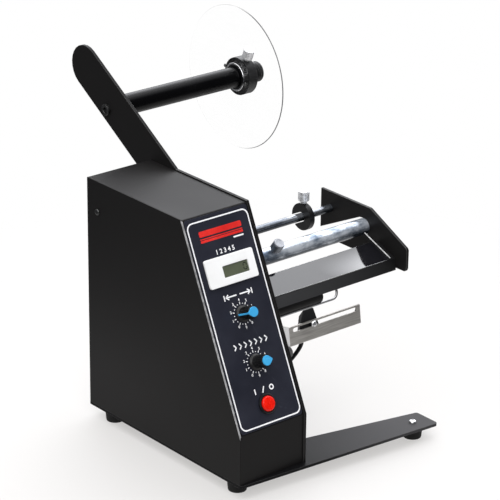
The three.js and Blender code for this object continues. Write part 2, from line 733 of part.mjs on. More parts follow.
// Potentiometers, fluted knobs and pointer caps
const potFace = -COVER_SHEET - CLEARANCE;
const potProfile = [
  [0, potFace - POT_DEPTH],
  [POT_RADIUS, potFace - POT_DEPTH],
  [POT_RADIUS, potFace],
  [POT_BUSH_RADIUS, potFace],
  [POT_BUSH_RADIUS, OVERLAY_TOP],
  [POT_SHAFT_RADIUS + CLEARANCE, OVERLAY_TOP],
  [POT_SHAFT_RADIUS + CLEARANCE, OVERLAY_TOP - POT_SHAFT_DEPTH],
  [0, OVERLAY_TOP - POT_SHAFT_DEPTH],
];
const knobSeat = OVERLAY_TOP + KNOB_LIFT;
const knobProfile = [
  [0, OVERLAY_TOP - POT_SHAFT_DEPTH + CLEARANCE],
  [POT_SHAFT_RADIUS, OVERLAY_TOP - POT_SHAFT_DEPTH + CLEARANCE],
  [POT_SHAFT_RADIUS, knobSeat],
  [KNOB_SKIRT_RADIUS, knobSeat],
  [KNOB_SKIRT_RADIUS, knobSeat + KNOB_SKIRT_HEIGHT / 2],
  [KNOB_BODY_RADIUS, knobSeat + KNOB_SKIRT_HEIGHT],
  [KNOB_TOP_RADIUS, knobSeat + KNOB_HEIGHT],
  [0, knobSeat + KNOB_HEIGHT],
];
const knobFlutes = Array.from({ length: KNOB_FLUTES }, (_, k) => {
  const angle = (2 * Math.PI * (k + 1 / 2)) / KNOB_FLUTES;
  return cylinder(
    KNOB_FLUTE_RADIUS,
    knobSeat + KNOB_SKIRT_HEIGHT,
    knobSeat + KNOB_HEIGHT + OVERRUN,
    HEX_SIDES,
  ).translate(KNOB_BODY_RADIUS * Math.cos(angle), KNOB_BODY_RADIUS * Math.sin(angle), 0);
});
// The pointer rib runs from the cap down the knob's side in a groove to the skirt.
const pointerGroove = box(
  [
    KNOB_TOP_RADIUS - KNOB_POINTER_WIDTH,
    -KNOB_POINTER_WIDTH / 2 - CLEARANCE,
    knobSeat + KNOB_SKIRT_HEIGHT,
  ],
  [KNOB_SKIRT_RADIUS, KNOB_POINTER_WIDTH / 2 + CLEARANCE, knobSeat + KNOB_HEIGHT + OVERRUN],
);
const pointerCap = joined(
  cylinder(KNOB_CAP_RADIUS, CLEARANCE, KNOB_CAP_HEIGHT, ROUND_SIDES).translate(
    0,
    0,
    knobSeat + KNOB_HEIGHT,
  ),
  box(
    [
      KNOB_TOP_RADIUS - KNOB_POINTER_WIDTH + CLEARANCE,
      -KNOB_POINTER_WIDTH / 2,
      knobSeat + KNOB_SKIRT_HEIGHT + CLEARANCE,
    ],
    [KNOB_BODY_RADIUS, KNOB_POINTER_WIDTH / 2, knobSeat + KNOB_HEIGHT + KNOB_CAP_HEIGHT],
  ),
);
for (const [dial, up] of Object.entries(KNOB_UPS)) {
  const pot = turned(potProfile, ROUND_SIDES).translate(BOX_MIDDLE, up, 0);
  add(slantFront, "pot_" + dial, "castGrey", pot);
  const turn = new THREE.Matrix4().makeRotationZ(KNOB_POINTER_TURNS[dial]).setPosition(BOX_MIDDLE, up, 0);
  const knob = cut(turned(knobProfile, ROUND_SIDES), pointerGroove, ...knobFlutes);
  add(slantFront, "knob_" + dial, "plasticBlack", knob.applyMatrix4(turn));
  add(slantFront, "knob_cap_" + dial, "skyBlue", pointerCap.clone().applyMatrix4(turn));
}

// Power switch: bezel and barrel in one piece, and the red lens button that slides in it
const switchFace = OVERLAY_TOP + CLEARANCE;
const switchTop = switchFace + SWITCH_BEZEL_HEIGHT;
const buttonBottom = switchFace - BUTTON_STEM;
const switchProfile = [
  [0, -SWITCH_DEPTH],
  [SWITCH_BARREL_RADIUS, -SWITCH_DEPTH],
  [SWITCH_BARREL_RADIUS, switchFace],
  [SWITCH_BEZEL_RADIUS, switchFace],
  [SWITCH_BEZEL_RADIUS, switchFace + SWITCH_BEZEL_HEIGHT / 2],
  [(SWITCH_BEZEL_RADIUS + SWITCH_BARREL_RADIUS) / 2, switchTop],
  [BUTTON_RADIUS + CLEARANCE, switchTop],
  [BUTTON_RADIUS + CLEARANCE, buttonBottom - BUTTON_STROKE - CLEARANCE],
  [0, buttonBottom - BUTTON_STROKE - CLEARANCE],
];
add(
  slantFront,
  "switch_body",
  "plasticBlack",
  turned(switchProfile, ROUND_SIDES).translate(BOX_MIDDLE, SWITCH_UP, 0),
);
const lensCrownShare = [[1, 0], [0.98, 0.35], [0.9, 0.7], [0.78, 0.85], [0.45, 0.97], [0, 1]];
const buttonProfile = [
  [0, buttonBottom],
  [BUTTON_RADIUS, buttonBottom],
  ...lensCrownShare.map(([across, rise]) => [BUTTON_RADIUS * across, switchTop + BUTTON_PROUD * rise]),
];
add(
  slantFront,
  "power_button",
  "lensRed",
  turned(buttonProfile, ROUND_SIDES).translate(BOX_MIDDLE, SWITCH_UP, 0),
);

// Roll spindle tube with a plugged left end, its socket bolt and its end cap
const spindleProfile = [
  [SPINDLE_BOLT_RADIUS + CLEARANCE, SIDE_X],
  [SPINDLE_RADIUS, SIDE_X],
  [SPINDLE_RADIUS, SPINDLE_END_X],
  [SPINDLE_BORE_RADIUS, SPINDLE_END_X],
  [SPINDLE_BORE_RADIUS, SIDE_X + SPINDLE_PLUG_LENGTH],
  [SPINDLE_BOLT_RADIUS + CLEARANCE, SIDE_X + SPINDLE_PLUG_LENGTH],
  [SPINDLE_BOLT_RADIUS + CLEARANCE, SIDE_X],
];
add(
  machine,
  "spindle_tube",
  "powderBlack",
  turnedAlongX(spindleProfile, ROUND_SIDES, SPINDLE_Y, SPINDLE_Z),
);
const boltProfile = [
  [0, BOX_WIDTH - SPINDLE_BOLT_HEAD_HEIGHT],
  [SPINDLE_BOLT_HEAD_RADIUS * BOLT_FACE_SHARE, BOX_WIDTH - SPINDLE_BOLT_HEAD_HEIGHT],
  [SPINDLE_BOLT_HEAD_RADIUS, BOX_WIDTH - SPINDLE_BOLT_HEAD_HEIGHT / 2],
  [SPINDLE_BOLT_HEAD_RADIUS, BOX_WIDTH],
  [SPINDLE_BOLT_RADIUS, BOX_WIDTH],
  [SPINDLE_BOLT_RADIUS, SIDE_X + SPINDLE_BOLT_REACH],
  [0, SIDE_X + SPINDLE_BOLT_REACH],
];
const boltSocket = cylinderAlongX(
  SPINDLE_BOLT_SOCKET_RADIUS,
  BOX_WIDTH - SPINDLE_BOLT_HEAD_HEIGHT - OVERRUN,
  BOX_WIDTH - SPINDLE_BOLT_HEAD_HEIGHT + SPINDLE_BOLT_SOCKET_DEPTH,
  HEX_SIDES,
  SPINDLE_Y,
  SPINDLE_Z,
);
add(
  machine,
  "spindle_bolt",
  "brightSteel",
  cut(turnedAlongX(boltProfile, SMALL_SIDES, SPINDLE_Y, SPINDLE_Z), boltSocket),
);
const spindleCapProfile = [
  [0, SPINDLE_END_X - SPINDLE_PLUG_FIT],
  [SPINDLE_BORE_RADIUS - CLEARANCE, SPINDLE_END_X - SPINDLE_PLUG_FIT],
  [SPINDLE_BORE_RADIUS - CLEARANCE, SPINDLE_END_X],
  [SPINDLE_RADIUS, SPINDLE_END_X],
  [SPINDLE_RADIUS, SPINDLE_END_X + SPINDLE_CAP_LENGTH - SPINDLE_CAP_CHAMFER],
  [SPINDLE_RADIUS - SPINDLE_CAP_CHAMFER, SPINDLE_END_X + SPINDLE_CAP_LENGTH],
  [0, SPINDLE_END_X + SPINDLE_CAP_LENGTH],
];
add(
  machine,
  "spindle_end_cap",
  "plasticBlack",
  turnedAlongX(spindleCapProfile, ROUND_SIDES, SPINDLE_Y, SPINDLE_Z),
);

// A knurled thumb screw about +Z, with its tip at z = 0 and its head from the given height
function thumbScrew(headFrom) {
  const knurls = Array.from({ length: 2 * THUMB_KNURLS }, (_, k) => {
    const angle = (Math.PI * k) / THUMB_KNURLS;
    const radius = THUMB_HEAD_RADIUS - (k % 2) * THUMB_KNURL_DEPTH;
    return new THREE.Vector2(radius * Math.cos(angle), radius * Math.sin(angle));
  });
  const neck = turned(
    [
      [0, 0],
      [THUMB_SHANK_RADIUS, 0],
      [THUMB_SHANK_RADIUS, headFrom - THUMB_NECK_LENGTH],
      [THUMB_NECK_RADIUS, headFrom - THUMB_NECK_LENGTH],
      [THUMB_NECK_RADIUS, headFrom + THUMB_HEAD_LENGTH / 2],
      [0, headFrom + THUMB_HEAD_LENGTH / 2],
    ],
    SMALL_SIDES,
  );
  return joined(plate(knurls, THUMB_HEAD_LENGTH).translate(0, 0, headFrom), neck);
}

// Stands a piece drawn about +Z radially on an axis along X, at a place x, from a radius outward.
function radially(geometry, x, y, z, angle, from) {
  return geometry
    .translate(0, 0, from)
    .rotateX(angle - QUARTER)
    .translate(x, y, z);
}

// Roll hub
const hubCollarX = DISC_X + DISC_THICKNESS;
const hubEndX = hubCollarX + HUB_COLLAR_LENGTH;
const hubBore = SPINDLE_RADIUS + HUB_RUNNING_GAP;
const hubNoseRadius = hubBore + HUB_NOSE_WALL;
const hubScrewTools = HUB_SCREW_ANGLES.map((angle) => ({
  y: SPINDLE_Y + HUB_SCREW_CIRCLE_RADIUS * Math.cos(angle),
  z: SPINDLE_Z + HUB_SCREW_CIRCLE_RADIUS * Math.sin(angle),
}));
const hubScrewHoles = hubScrewTools.map(({ y, z }) =>
  cylinderAlongX(
    HUB_SCREW_RADIUS + CLEARANCE,
    DISC_X - OVERRUN,
    hubCollarX + HUB_SCREW_REACH,
    SMALL_SIDES,
    y,
    z,
  ),
);
const hubRing = turnedAlongX(
  [
    [hubNoseRadius + CLEARANCE, DISC_X - HUB_RING_PROUD],
    [DISC_BORE_RADIUS - CLEARANCE, DISC_X - HUB_RING_PROUD],
    [DISC_BORE_RADIUS - CLEARANCE, hubCollarX],
    [hubNoseRadius + CLEARANCE, hubCollarX],
    [hubNoseRadius + CLEARANCE, DISC_X - HUB_RING_PROUD],
  ],
  FINE_SIDES,
  SPINDLE_Y,
  SPINDLE_Z,
);
add(machine, "hub_ring", "brightSteel", hubRing);
const rollDisc = turnedAlongX(
  [
    [DISC_BORE_RADIUS, DISC_X],
    [DISC_RADIUS, DISC_X],
    [DISC_RADIUS, hubCollarX],
    [DISC_BORE_RADIUS, hubCollarX],
    [DISC_BORE_RADIUS, DISC_X],
  ],
  FINE_SIDES,
  SPINDLE_Y,
  SPINDLE_Z,
);
add(machine, "roll_disc", "acrylic", cut(rollDisc, ...hubScrewHoles));
const hubCollar = turnedAlongX(
  [
    [hubBore, DISC_X - HUB_NOSE_PROUD],
    [hubNoseRadius, DISC_X - HUB_NOSE_PROUD],
    [hubNoseRadius, hubCollarX],
    [HUB_RADIUS, hubCollarX],
    [HUB_RADIUS, hubEndX],
    [hubBore, hubEndX],
    [hubBore, DISC_X - HUB_NOSE_PROUD],
  ],
  FINE_SIDES,
  SPINDLE_Y,
  SPINDLE_Z,
);
const hubThumbX = hubCollarX + HUB_COLLAR_LENGTH / 2;
const hubThumbHole = radially(
  cylinder(THUMB_SHANK_RADIUS + CLEARANCE, 0, HUB_RADIUS + OVERRUN, SMALL_SIDES),
  hubThumbX,
  SPINDLE_Y,
  SPINDLE_Z,
  HUB_THUMB_ANGLE,
  0,
);
add(machine, "hub_collar", "plasticBlack", cut(hubCollar, hubThumbHole, ...hubScrewHoles));
const hubThumbHead = HUB_RADIUS - SPINDLE_RADIUS + THUMB_NECK_LENGTH;
add(
  machine,
  "hub_thumb_screw",
  "brightSteel",
  radially(
    thumbScrew(hubThumbHead),
    hubThumbX,
    SPINDLE_Y,
    SPINDLE_Z,
    HUB_THUMB_ANGLE,
    SPINDLE_RADIUS + CLEARANCE,
  ),
);
hubScrewTools.forEach(({ y, z }, k) => {
  const reach = DISC_THICKNESS + HUB_SCREW_REACH - CLEARANCE;
  const screw = smallScrew(reach, HUB_SCREW_RADIUS, HUB_SCREW_HEAD_RADIUS, HUB_SCREW_HEAD_HEIGHT);
  add(
    machine,
    "disc_screw_" + ["rear", "front"][k],
    "brightSteel",
    screw.rotateY(-QUARTER).translate(DISC_X, y, z),
  );
});

// Guide rod, C-shaped guide collar and its thumb screw
add(
  machine,
  "guide_rod",
  "brightSteel",
  cylinderAlongX(ROD_RADIUS, SIDE_X, OUTER_X, SMALL_SIDES, ROD_Y, ROD_Z),
);
const guideBody = cylinderAlongX(GUIDE_RADIUS, GUIDE_X, GUIDE_X + GUIDE_THICKNESS, ROUND_SIDES, 0, 0);
const guideSlot = joined(
  cylinderAlongX(
    GUIDE_SLOT_WIDTH / 2,
    GUIDE_X - OVERRUN,
    GUIDE_X + GUIDE_THICKNESS + OVERRUN,
    SMALL_SIDES,
    0,
    0,
  ),
  box(
    [GUIDE_X - OVERRUN, 0, -GUIDE_SLOT_WIDTH / 2],
    [GUIDE_X + GUIDE_THICKNESS + OVERRUN, GUIDE_RADIUS + OVERRUN, GUIDE_SLOT_WIDTH / 2],
  ),
).rotateX(GUIDE_SLOT_ANGLE);
const guideThumbX = GUIDE_X + GUIDE_THICKNESS / 2;
const guideThumbHole = radially(
  cylinder(THUMB_SHANK_RADIUS + CLEARANCE, 0, GUIDE_RADIUS + OVERRUN, SMALL_SIDES),
  guideThumbX,
  0,
  0,
  GUIDE_THUMB_ANGLE,
  0,
);
add(
  machine,
  "guide_collar",
  "plasticBlack",
  cut(guideBody, guideSlot, guideThumbHole).translate(0, ROD_Y, ROD_Z),
);
add(
  machine,
  "guide_thumb_screw",
  "brightSteel",
  radially(
    thumbScrew(GUIDE_RADIUS - ROD_RADIUS + THUMB_NECK_LENGTH),
    guideThumbX,
    ROD_Y,
    ROD_Z,
    GUIDE_THUMB_ANGLE,
    ROD_RADIUS + CLEARANCE,
  ),
);

// Press tube and its thumb screw
const tubeEndX = OUTER_X + OUTER_THICKNESS + TUBE_PROUD;
const tubeProfile = [
  [TUBE_RADIUS - TUBE_WALL, SIDE_X],
  [TUBE_RADIUS, SIDE_X],
  [TUBE_RADIUS, tubeEndX],
  [TUBE_RADIUS - TUBE_WALL, tubeEndX],
  [TUBE_RADIUS - TUBE_WALL, SIDE_X],
];
const tubeThumbHole = radially(
  cylinder(THUMB_SHANK_RADIUS + CLEARANCE, 0, TUBE_RADIUS + OVERRUN, SMALL_SIDES),
  TUBE_THUMB_X,
  TUBE_Y,
  TUBE_Z,
  TUBE_THUMB_ANGLE,
  0,
);
add(
  machine,
  "press_tube",
  "chrome",
  cut(turnedAlongX(tubeProfile, ROUND_SIDES, TUBE_Y, TUBE_Z), tubeThumbHole),
);
add(
  machine,
  "tube_thumb_screw",
  "brightSteel",
  radially(
    thumbScrew(TUBE_RADIUS + THUMB_NECK_LENGTH + CLEARANCE),
    TUBE_THUMB_X,
    TUBE_Y,
    TUBE_Z,
    TUBE_THUMB_ANGLE,
    0,
  ),
);

// Outer plate, with an oblique slot that opens to the rear and ends round the press tube
const slotHalf = TUBE_RADIUS + TUBE_SLOT_GAP;
const slotAlong = new THREE.Vector2(Math.cos(OUTER_SLOT_ANGLE), Math.sin(OUTER_SLOT_ANGLE));
const slotUp = new THREE.Vector2(-slotAlong.y, slotAlong.x);
const slotBend = new THREE.Vector2(TUBE_Y + OUTER_SLOT_BEND, TUBE_Z);
const slotHighBend = slotBend.clone().addScaledVector(slotUp, slotHalf);
const outerRearY = TUBE_Y + OUTER_REAR;
const slotHighEnd = slotHighBend
  .clone()
  .addScaledVector(slotAlong, (outerRearY - slotHighBend.x) / slotAlong.x);
const outerBottomZ = TUBE_Z - OUTER_BOTTOM;
const slotSeatLow = new THREE.Vector2(TUBE_Y, TUBE_Z - slotHalf);
const slotLowEnd = slotSeatLow
  .clone()
  .addScaledVector(slotAlong, (outerBottomZ - slotSeatLow.y) / slotAlong.y);
const outerOutline = [
  ...roundedOutline([
    [slotLowEnd.x, slotLowEnd.y],
    [TUBE_Y - OUTER_FRONT, outerBottomZ, OUTER_CORNER_RADIUS],
    [TUBE_Y - OUTER_FRONT, TUBE_Z - OUTER_FRONT_TOP, OUTER_CORNER_RADIUS],
    [TUBE_Y - OUTER_PEAK_FRONT, TUBE_Z + OUTER_PEAK, OUTER_CORNER_RADIUS],
    [outerRearY, TUBE_Z + OUTER_PEAK],
    [slotHighEnd.x, slotHighEnd.y],
    [slotHighBend.x, slotHighBend.y],
  ]),
  ...arcPoints(new THREE.Vector2(TUBE_Y, TUBE_Z), slotHalf, QUARTER, Math.PI),
];
add(machine, "outer_plate", "powderBlack", acrossX(plate(outerOutline, OUTER_THICKNESS), OUTER_X));

// Tray support: leaning front lip, sloping flange under the peel plate, low upstand at its right edge
const traySlope = new THREE.Vector2(Math.cos(TRAY_SLOPE), Math.sin(TRAY_SLOPE));
const trayUp = new THREE.Vector2(-traySlope.y, traySlope.x);
const lipDown = new THREE.Vector2(-Math.sin(TRAY_LIP_LEAN), -Math.cos(TRAY_LIP_LEAN));
const lipBack = new THREE.Vector2(-lipDown.y, lipDown.x);
const trayFold = new THREE.Vector2(TRAY_FRONT_Y, TRAY_FRONT_Z).addScaledVector(
  trayUp,
  -PEEL_SHEET - CLEARANCE,
);
const lipFoot = trayFold.clone().addScaledVector(lipDown, TRAY_LIP_HEIGHT);
const trayRear = trayFold.clone().addScaledVector(traySlope, TRAY_DEPTH);
const traySupportOutline = [
  trayFold,
  lipFoot,
  lipFoot.clone().addScaledVector(lipBack, TRAY_SHEET),
  trayFold
    .clone()
    .addScaledVector(lipBack, TRAY_SHEET)
    .addScaledVector(lipDown, TRAY_SHEET * Math.tan((QUARTER - TRAY_SLOPE) / 2)),
  trayRear.clone().addScaledVector(trayUp, -TRAY_SHEET),
  trayRear,
];
const peelEndX = OUTER_X - TRAY_SIDE_MARGIN;
const upstandFront = trayFold.clone();
const upstandRear = trayFold.clone().addScaledVector(traySlope, TRAY_UPSTAND_LENGTH);
const upstandRise = PEEL_SHEET + CLEARANCE + TRAY_UPSTAND_HEIGHT;
const upstandOutline = [
  upstandFront.clone().addScaledVector(trayUp, -TRAY_SHEET),
  upstandRear.clone().addScaledVector(trayUp, -TRAY_SHEET),
  upstandRear.clone().addScaledVector(trayUp, upstandRise),
  upstandFront.clone().addScaledVector(trayUp, upstandRise),
];
add(
  machine,
  "tray_support",
  "powderBlack",
  joined(
    acrossX(plate(traySupportOutline, TRAY_GAP), SIDE_X),
    acrossX(plate(upstandOutline, TRAY_SHEET), peelEndX + CLEARANCE),
  ),
);
const peelLow = trayFold.clone().addScaledVector(trayUp, CLEARANCE);
const peelOutline = [
  peelLow,
  peelLow.clone().addScaledVector(traySlope, TRAY_DEPTH),
  peelLow.clone().addScaledVector(traySlope, TRAY_DEPTH).addScaledVector(trayUp, PEEL_SHEET),
  peelLow.clone().addScaledVector(trayUp, PEEL_SHEET),
];
add(machine, "peel_plate", "glossBlack", acrossX(plate(peelOutline, peelEndX - SIDE_X), SIDE_X));

// Take-up drive. Involute gear outline about the origin, with a tooth or a space on the +U axis.
function gearOutline(teeth, startsWithTooth) {
  const pitch = (GEAR_MODULE * teeth) / 2;
  const base = pitch * Math.cos(PRESSURE_ANGLE);
  const tip = pitch + GEAR_MODULE;
  const root = pitch - DEDENDUM_SHARE * GEAR_MODULE;
  const flankFoot = Math.max(base, root);
  const involute = (angle) => Math.tan(angle) - angle;
  const halfTooth = Math.PI / (2 * teeth) - GEAR_BACKLASH / (2 * pitch);
  const flank = Array.from({ length: GEAR_FLANK_STEPS + 1 }, (_, k) => {
    const radius = flankFoot + ((tip - flankFoot) * k) / GEAR_FLANK_STEPS;
    const halfAngle = halfTooth + involute(PRESSURE_ANGLE) - involute(Math.acos(base / radius));
    return [radius, halfAngle];
  });
  const rising = [[root, flank[0][1]], ...flank];
  const tooth = [...rising.map(([r, a]) => [r, -a]), ...rising.reverse()];
  const shift = startsWithTooth ? 0 : Math.PI / teeth;
  return Array.from({ length: teeth }, (_, t) =>
    tooth.map(([radius, angle]) => {
      const turn = angle + shift + (2 * Math.PI * t) / teeth;
      return new THREE.Vector2(radius * Math.cos(turn), radius * Math.sin(turn));
    }),
  ).flat();
}

const bushInnerX = BOX_WIDTH - BUSH_INNER_LENGTH;
const gearX = bushInnerX - GEAR_GAP_TO_BUSH - GEAR_WIDTH;
const gearPitchRadius = (GEAR_MODULE * GEAR_TEETH) / 2;
const pinionPitchRadius = (GEAR_MODULE * PINION_TEETH) / 2;
const pinionY = TAKEUP_Y + gearPitchRadius + pinionPitchRadius;
const pinionHubX = gearX - PINION_HUB_LENGTH;
const bracketX = pinionHubX - CLEARANCE - BRACKET_SHEET;
const spindleStartX = SIDE_X + BUSH_FLANGE_THICKNESS + CLEARANCE;

// Bearing bush in the side plate
const bushBore = TAKEUP_SHAFT_RADIUS + SHAFT_CLEARANCE;
add(
  machine,
  "takeup_bush",
  "bronze",
  turnedAlongX(
    [
      [bushBore, bushInnerX],
      [BUSH_RADIUS, bushInnerX],
      [BUSH_RADIUS, SIDE_X],
      [BUSH_FLANGE_RADIUS, SIDE_X],
      [BUSH_FLANGE_RADIUS, SIDE_X + BUSH_FLANGE_THICKNESS],
      [bushBore, SIDE_X + BUSH_FLANGE_THICKNESS],
      [bushBore, bushInnerX],
    ],
    ROUND_SIDES,
    TAKEUP_Y,
    TAKEUP_Z,
  ),
);

// Take-up spindle with its shaft and the two shallow grooves of the wire clip
const takeupProfile = [
  [0, bracketX - BRACKET_SHEET],
  [TAKEUP_SHAFT_RADIUS, bracketX - BRACKET_SHEET],
  [TAKEUP_SHAFT_RADIUS, spindleStartX],
  [TAKEUP_RADIUS, spindleStartX],
  [TAKEUP_RADIUS, TAKEUP_END_X - TAKEUP_CHAMFER],
  [TAKEUP_RADIUS - TAKEUP_CHAMFER, TAKEUP_END_X],
  [0, TAKEUP_END_X],
];
const clipOffset = TAKEUP_RADIUS + CLIP_WIRE_RADIUS - TAKEUP_GROOVE + CLEARANCE;
const clipGrooves = [1, -1].map((side) =>
  cylinderAlongX(
    CLIP_WIRE_RADIUS + CLEARANCE,
    CLIP_ROOT_X - CLEARANCE,
    TAKEUP_END_X + OVERRUN,
    SMALL_SIDES,
    TAKEUP_Y + side * clipOffset * Math.cos(CLIP_ANGLE),
    TAKEUP_Z + side * clipOffset * Math.sin(CLIP_ANGLE),
  ),
);
add(
  machine,
  "takeup_spindle",
  "powderBlack",
  cut(turnedAlongX(takeupProfile, ROUND_SIDES, TAKEUP_Y, TAKEUP_Z), ...clipGrooves),
);

// Wire clip: two straight legs and a round bow past the spindle's end, joined where they overlap
class BowCurve extends THREE.Curve {
  getPoint(t) {
    const bow = Math.PI * clipOffset;
    const along = t * (bow + 2 * CLIP_OVERLAP) - CLIP_OVERLAP;
    const place = (x, across) =>
      new THREE.Vector3(
        TAKEUP_END_X + CLIP_BOW + x,
        TAKEUP_Y + across * Math.cos(CLIP_ANGLE),
        TAKEUP_Z + across * Math.sin(CLIP_ANGLE),
      );
    if (along < 0) {
      return place(along, clipOffset);
    }
    if (along > bow) {
      return place(bow - along, -clipOffset);
    }
    const angle = along / clipOffset;
    return place(clipOffset * Math.sin(angle), clipOffset * Math.cos(angle));
  }
}
const clipBow = new THREE.ExtrudeGeometry(
  new THREE.Shape(circlePoints(0, 0, CLIP_WIRE_RADIUS, WIRE_SIDES)),
  { steps: CLIP_STEPS, bevelEnabled: false, extrudePath: new BowCurve() },
);
const clipLegs = [1, -1].map((side) =>
  cylinderAlongX(
    CLIP_WIRE_RADIUS,
    CLIP_ROOT_X,
    TAKEUP_END_X + CLIP_BOW,
    WIRE_SIDES,
    TAKEUP_Y + side * clipOffset * Math.cos(CLIP_ANGLE),
    TAKEUP_Z + side * clipOffset * Math.sin(CLIP_ANGLE),
  ),
);
add(machine, "paper_clip", "chrome", joined(clipBow, ...clipLegs));

// Driven gear: rim, web, hub and bore
const gearBore = TAKEUP_SHAFT_RADIUS + CLEARANCE;
const gearPocketOuter = gearPitchRadius - DEDENDUM_SHARE * GEAR_MODULE - GEAR_RIM;
const gearPocket = (from, to) =>
  turned(
    [
      [GEAR_HUB_RADIUS, from],
      [gearPocketOuter, from],
      [gearPocketOuter, to],
      [GEAR_HUB_RADIUS, to],
      [GEAR_HUB_RADIUS, from],
    ],
    ROUND_SIDES,
  );
const gearBlank = plate(gearOutline(GEAR_TEETH, true), GEAR_WIDTH, [
  circlePoints(0, 0, gearBore, SMALL_SIDES),
]);
const drivenGear = cut(
  gearBlank,
  gearPocket(-OVERRUN, (GEAR_WIDTH - GEAR_WEB_THICKNESS) / 2),
  gearPocket((GEAR_WIDTH + GEAR_WEB_THICKNESS) / 2, GEAR_WIDTH + OVERRUN),
);
add(machine, "driven_gear", "nylon", acrossX(drivenGear, gearX).translate(0, TAKEUP_Y, TAKEUP_Z));

// Pinion with its hub and the gear motor's output shaft
const pinionToothFirst = PINION_TEETH % 2 === 1;
add(
  machine,
  "pinion",
  "brightSteel",
  joined(
    acrossX(plate(gearOutline(PINION_TEETH, pinionToothFirst), GEAR_WIDTH), gearX),
    cylinderAlongX(PINION_HUB_RADIUS, pinionHubX, gearX + GEAR_WIDTH / 2, SMALL_SIDES, 0, 0),
    cylinderAlongX(
      PINION_SHAFT_RADIUS,
      bracketX - CLEARANCE - PINION_SHAFT_DEPTH,
      gearX + GEAR_WIDTH / 2,
      SMALL_SIDES,
      0,
      0,
    ),
  ).translate(0, pinionY, TAKEUP_Z),
);

// Motor bracket: a plate across the box with a foot on the base plate
const bracketFront = TAKEUP_Y - TAKEUP_SHAFT_RADIUS - BRACKET_MARGIN;
const bracketRear = pinionY + PINION_SHAFT_RADIUS + BRACKET_MARGIN;
const bracketTop = TAKEUP_Z + PINION_SHAFT_RADIUS + BRACKET_MARGIN;
const bracketOutline = roundedOutline([
  [bracketFront, 0],
  [bracketRear, 0],
  [bracketRear, bracketTop, BRACKET_MARGIN],
  [bracketFront, bracketTop, BRACKET_MARGIN],
]);
const bracketHoles = [
  circlePoints(TAKEUP_Y, TAKEUP_Z, bushBore, ROUND_SIDES),
  circlePoints(pinionY, TAKEUP_Z, PINION_SHAFT_RADIUS + CLEARANCE, SMALL_SIDES),
];
add(
  machine,
  "motor_bracket",
  "brushedSteel",
  joined(
    acrossX(plate(bracketOutline, BRACKET_SHEET, bracketHoles), bracketX),
    box(
      [bracketX + BRACKET_SHEET - BRACKET_FOOT, bracketFront, 0],
      [bracketX + BRACKET_SHEET, bracketRear, BRACKET_SHEET],
    ),
  ),
);
const gearboxX = bracketX - GEARBOX_THICKNESS;
const gearboxOutline = circlePoints(0, 0, GEARBOX_RADIUS, ROUND_SIDES);
const gearboxBore = cylinderAlongX(
  PINION_SHAFT_RADIUS + CLEARANCE,
  bracketX - PINION_SHAFT_DEPTH - 2 * CLEARANCE,
  bracketX + OVERRUN,
  SMALL_SIDES,
  0,
  0,
);
add(
  machine,
  "gearbox",
  "castGrey",
  cut(acrossX(plate(gearboxOutline, GEARBOX_THICKNESS), gearboxX), gearboxBore)
    .translate(0, pinionY, TAKEUP_Z),
);
add(
  machine,
  "motor",
  "brightSteel",
  cylinderAlongX(MOTOR_RADIUS, gearboxX - MOTOR_LENGTH, gearboxX, ROUND_SIDES, pinionY, TAKEUP_Z),
);

// Sensor bracket in its own leaning frame: X along the plate, Y to its back, Z up it
const sensorFrame = new THREE.Group();
sensorFrame.position.set(SIDE_X, SENSOR_FRONT_Y, SENSOR_FRONT_Z);
sensorFrame.rotation.x = -SENSOR_LEAN;
machine.add(sensorFrame);
const sensorPlateSlot = roundedOutline([
  [SENSOR_SLOT_START, SENSOR_SLOT_UP - SENSOR_SLOT_WIDTH / 2, SENSOR_SLOT_WIDTH / 2 - CLEARANCE / 2],
  [SENSOR_SLOT_END, SENSOR_SLOT_UP - SENSOR_SLOT_WIDTH / 2, SENSOR_SLOT_WIDTH / 2 - CLEARANCE / 2],
  [SENSOR_SLOT_END, SENSOR_SLOT_UP + SENSOR_SLOT_WIDTH / 2, SENSOR_SLOT_WIDTH / 2 - CLEARANCE / 2],
  [SENSOR_SLOT_START, SENSOR_SLOT_UP + SENSOR_SLOT_WIDTH / 2, SENSOR_SLOT_WIDTH / 2 - CLEARANCE / 2],
]);
const sensorPlateOutline = rectanglePoints(
  SENSOR_PLATE_LENGTH / 2,
  SENSOR_PLATE_HEIGHT / 2,
  SENSOR_PLATE_LENGTH,
  SENSOR_PLATE_HEIGHT,
);
const sensorPlate = plate(sensorPlateOutline, SENSOR_SHEET, [sensorPlateSlot])
  .rotateX(QUARTER)
  .translate(0, SENSOR_SHEET, 0);
const flangeScrewTools = [1, 2].map((k) =>
  cylinderAlongX(
    SMALL_SCREW_RADIUS + CLEARANCE,
    -OVERRUN,
    OVERRUN,
    SMALL_SIDES,
    SENSOR_FLANGE_DEPTH - k * FLANGE_SCREW_SPACING + FLANGE_SCREW_SPACING / 2,
    SENSOR_PLATE_HEIGHT / 2,
  ),
);
const sensorFlange = box([0, 0, 0], [SENSOR_SHEET, SENSOR_FLANGE_DEPTH, SENSOR_PLATE_HEIGHT]);
add(
  sensorFrame,
  "sensor_bracket",
  "brushedSteel",
  surface(solid(sensorPlate).add(solid(cut(sensorFlange, ...flangeScrewTools)))),
);
flangeScrewPlaces.forEach(([y, z], k) => {
  const reach = SENSOR_SHEET + FLANGE_SCREW_REACH;
  const screw = smallScrew(reach, SMALL_SCREW_RADIUS, SMALL_SCREW_HEAD_RADIUS, SMALL_SCREW_HEAD_HEIGHT);
  add(
    machine,
    "flange_screw_" + ["rear", "front"][k],
    "brightSteel",
    screw.rotateY(QUARTER).translate(SIDE_X + SENSOR_SHEET, y, z),
  );
});

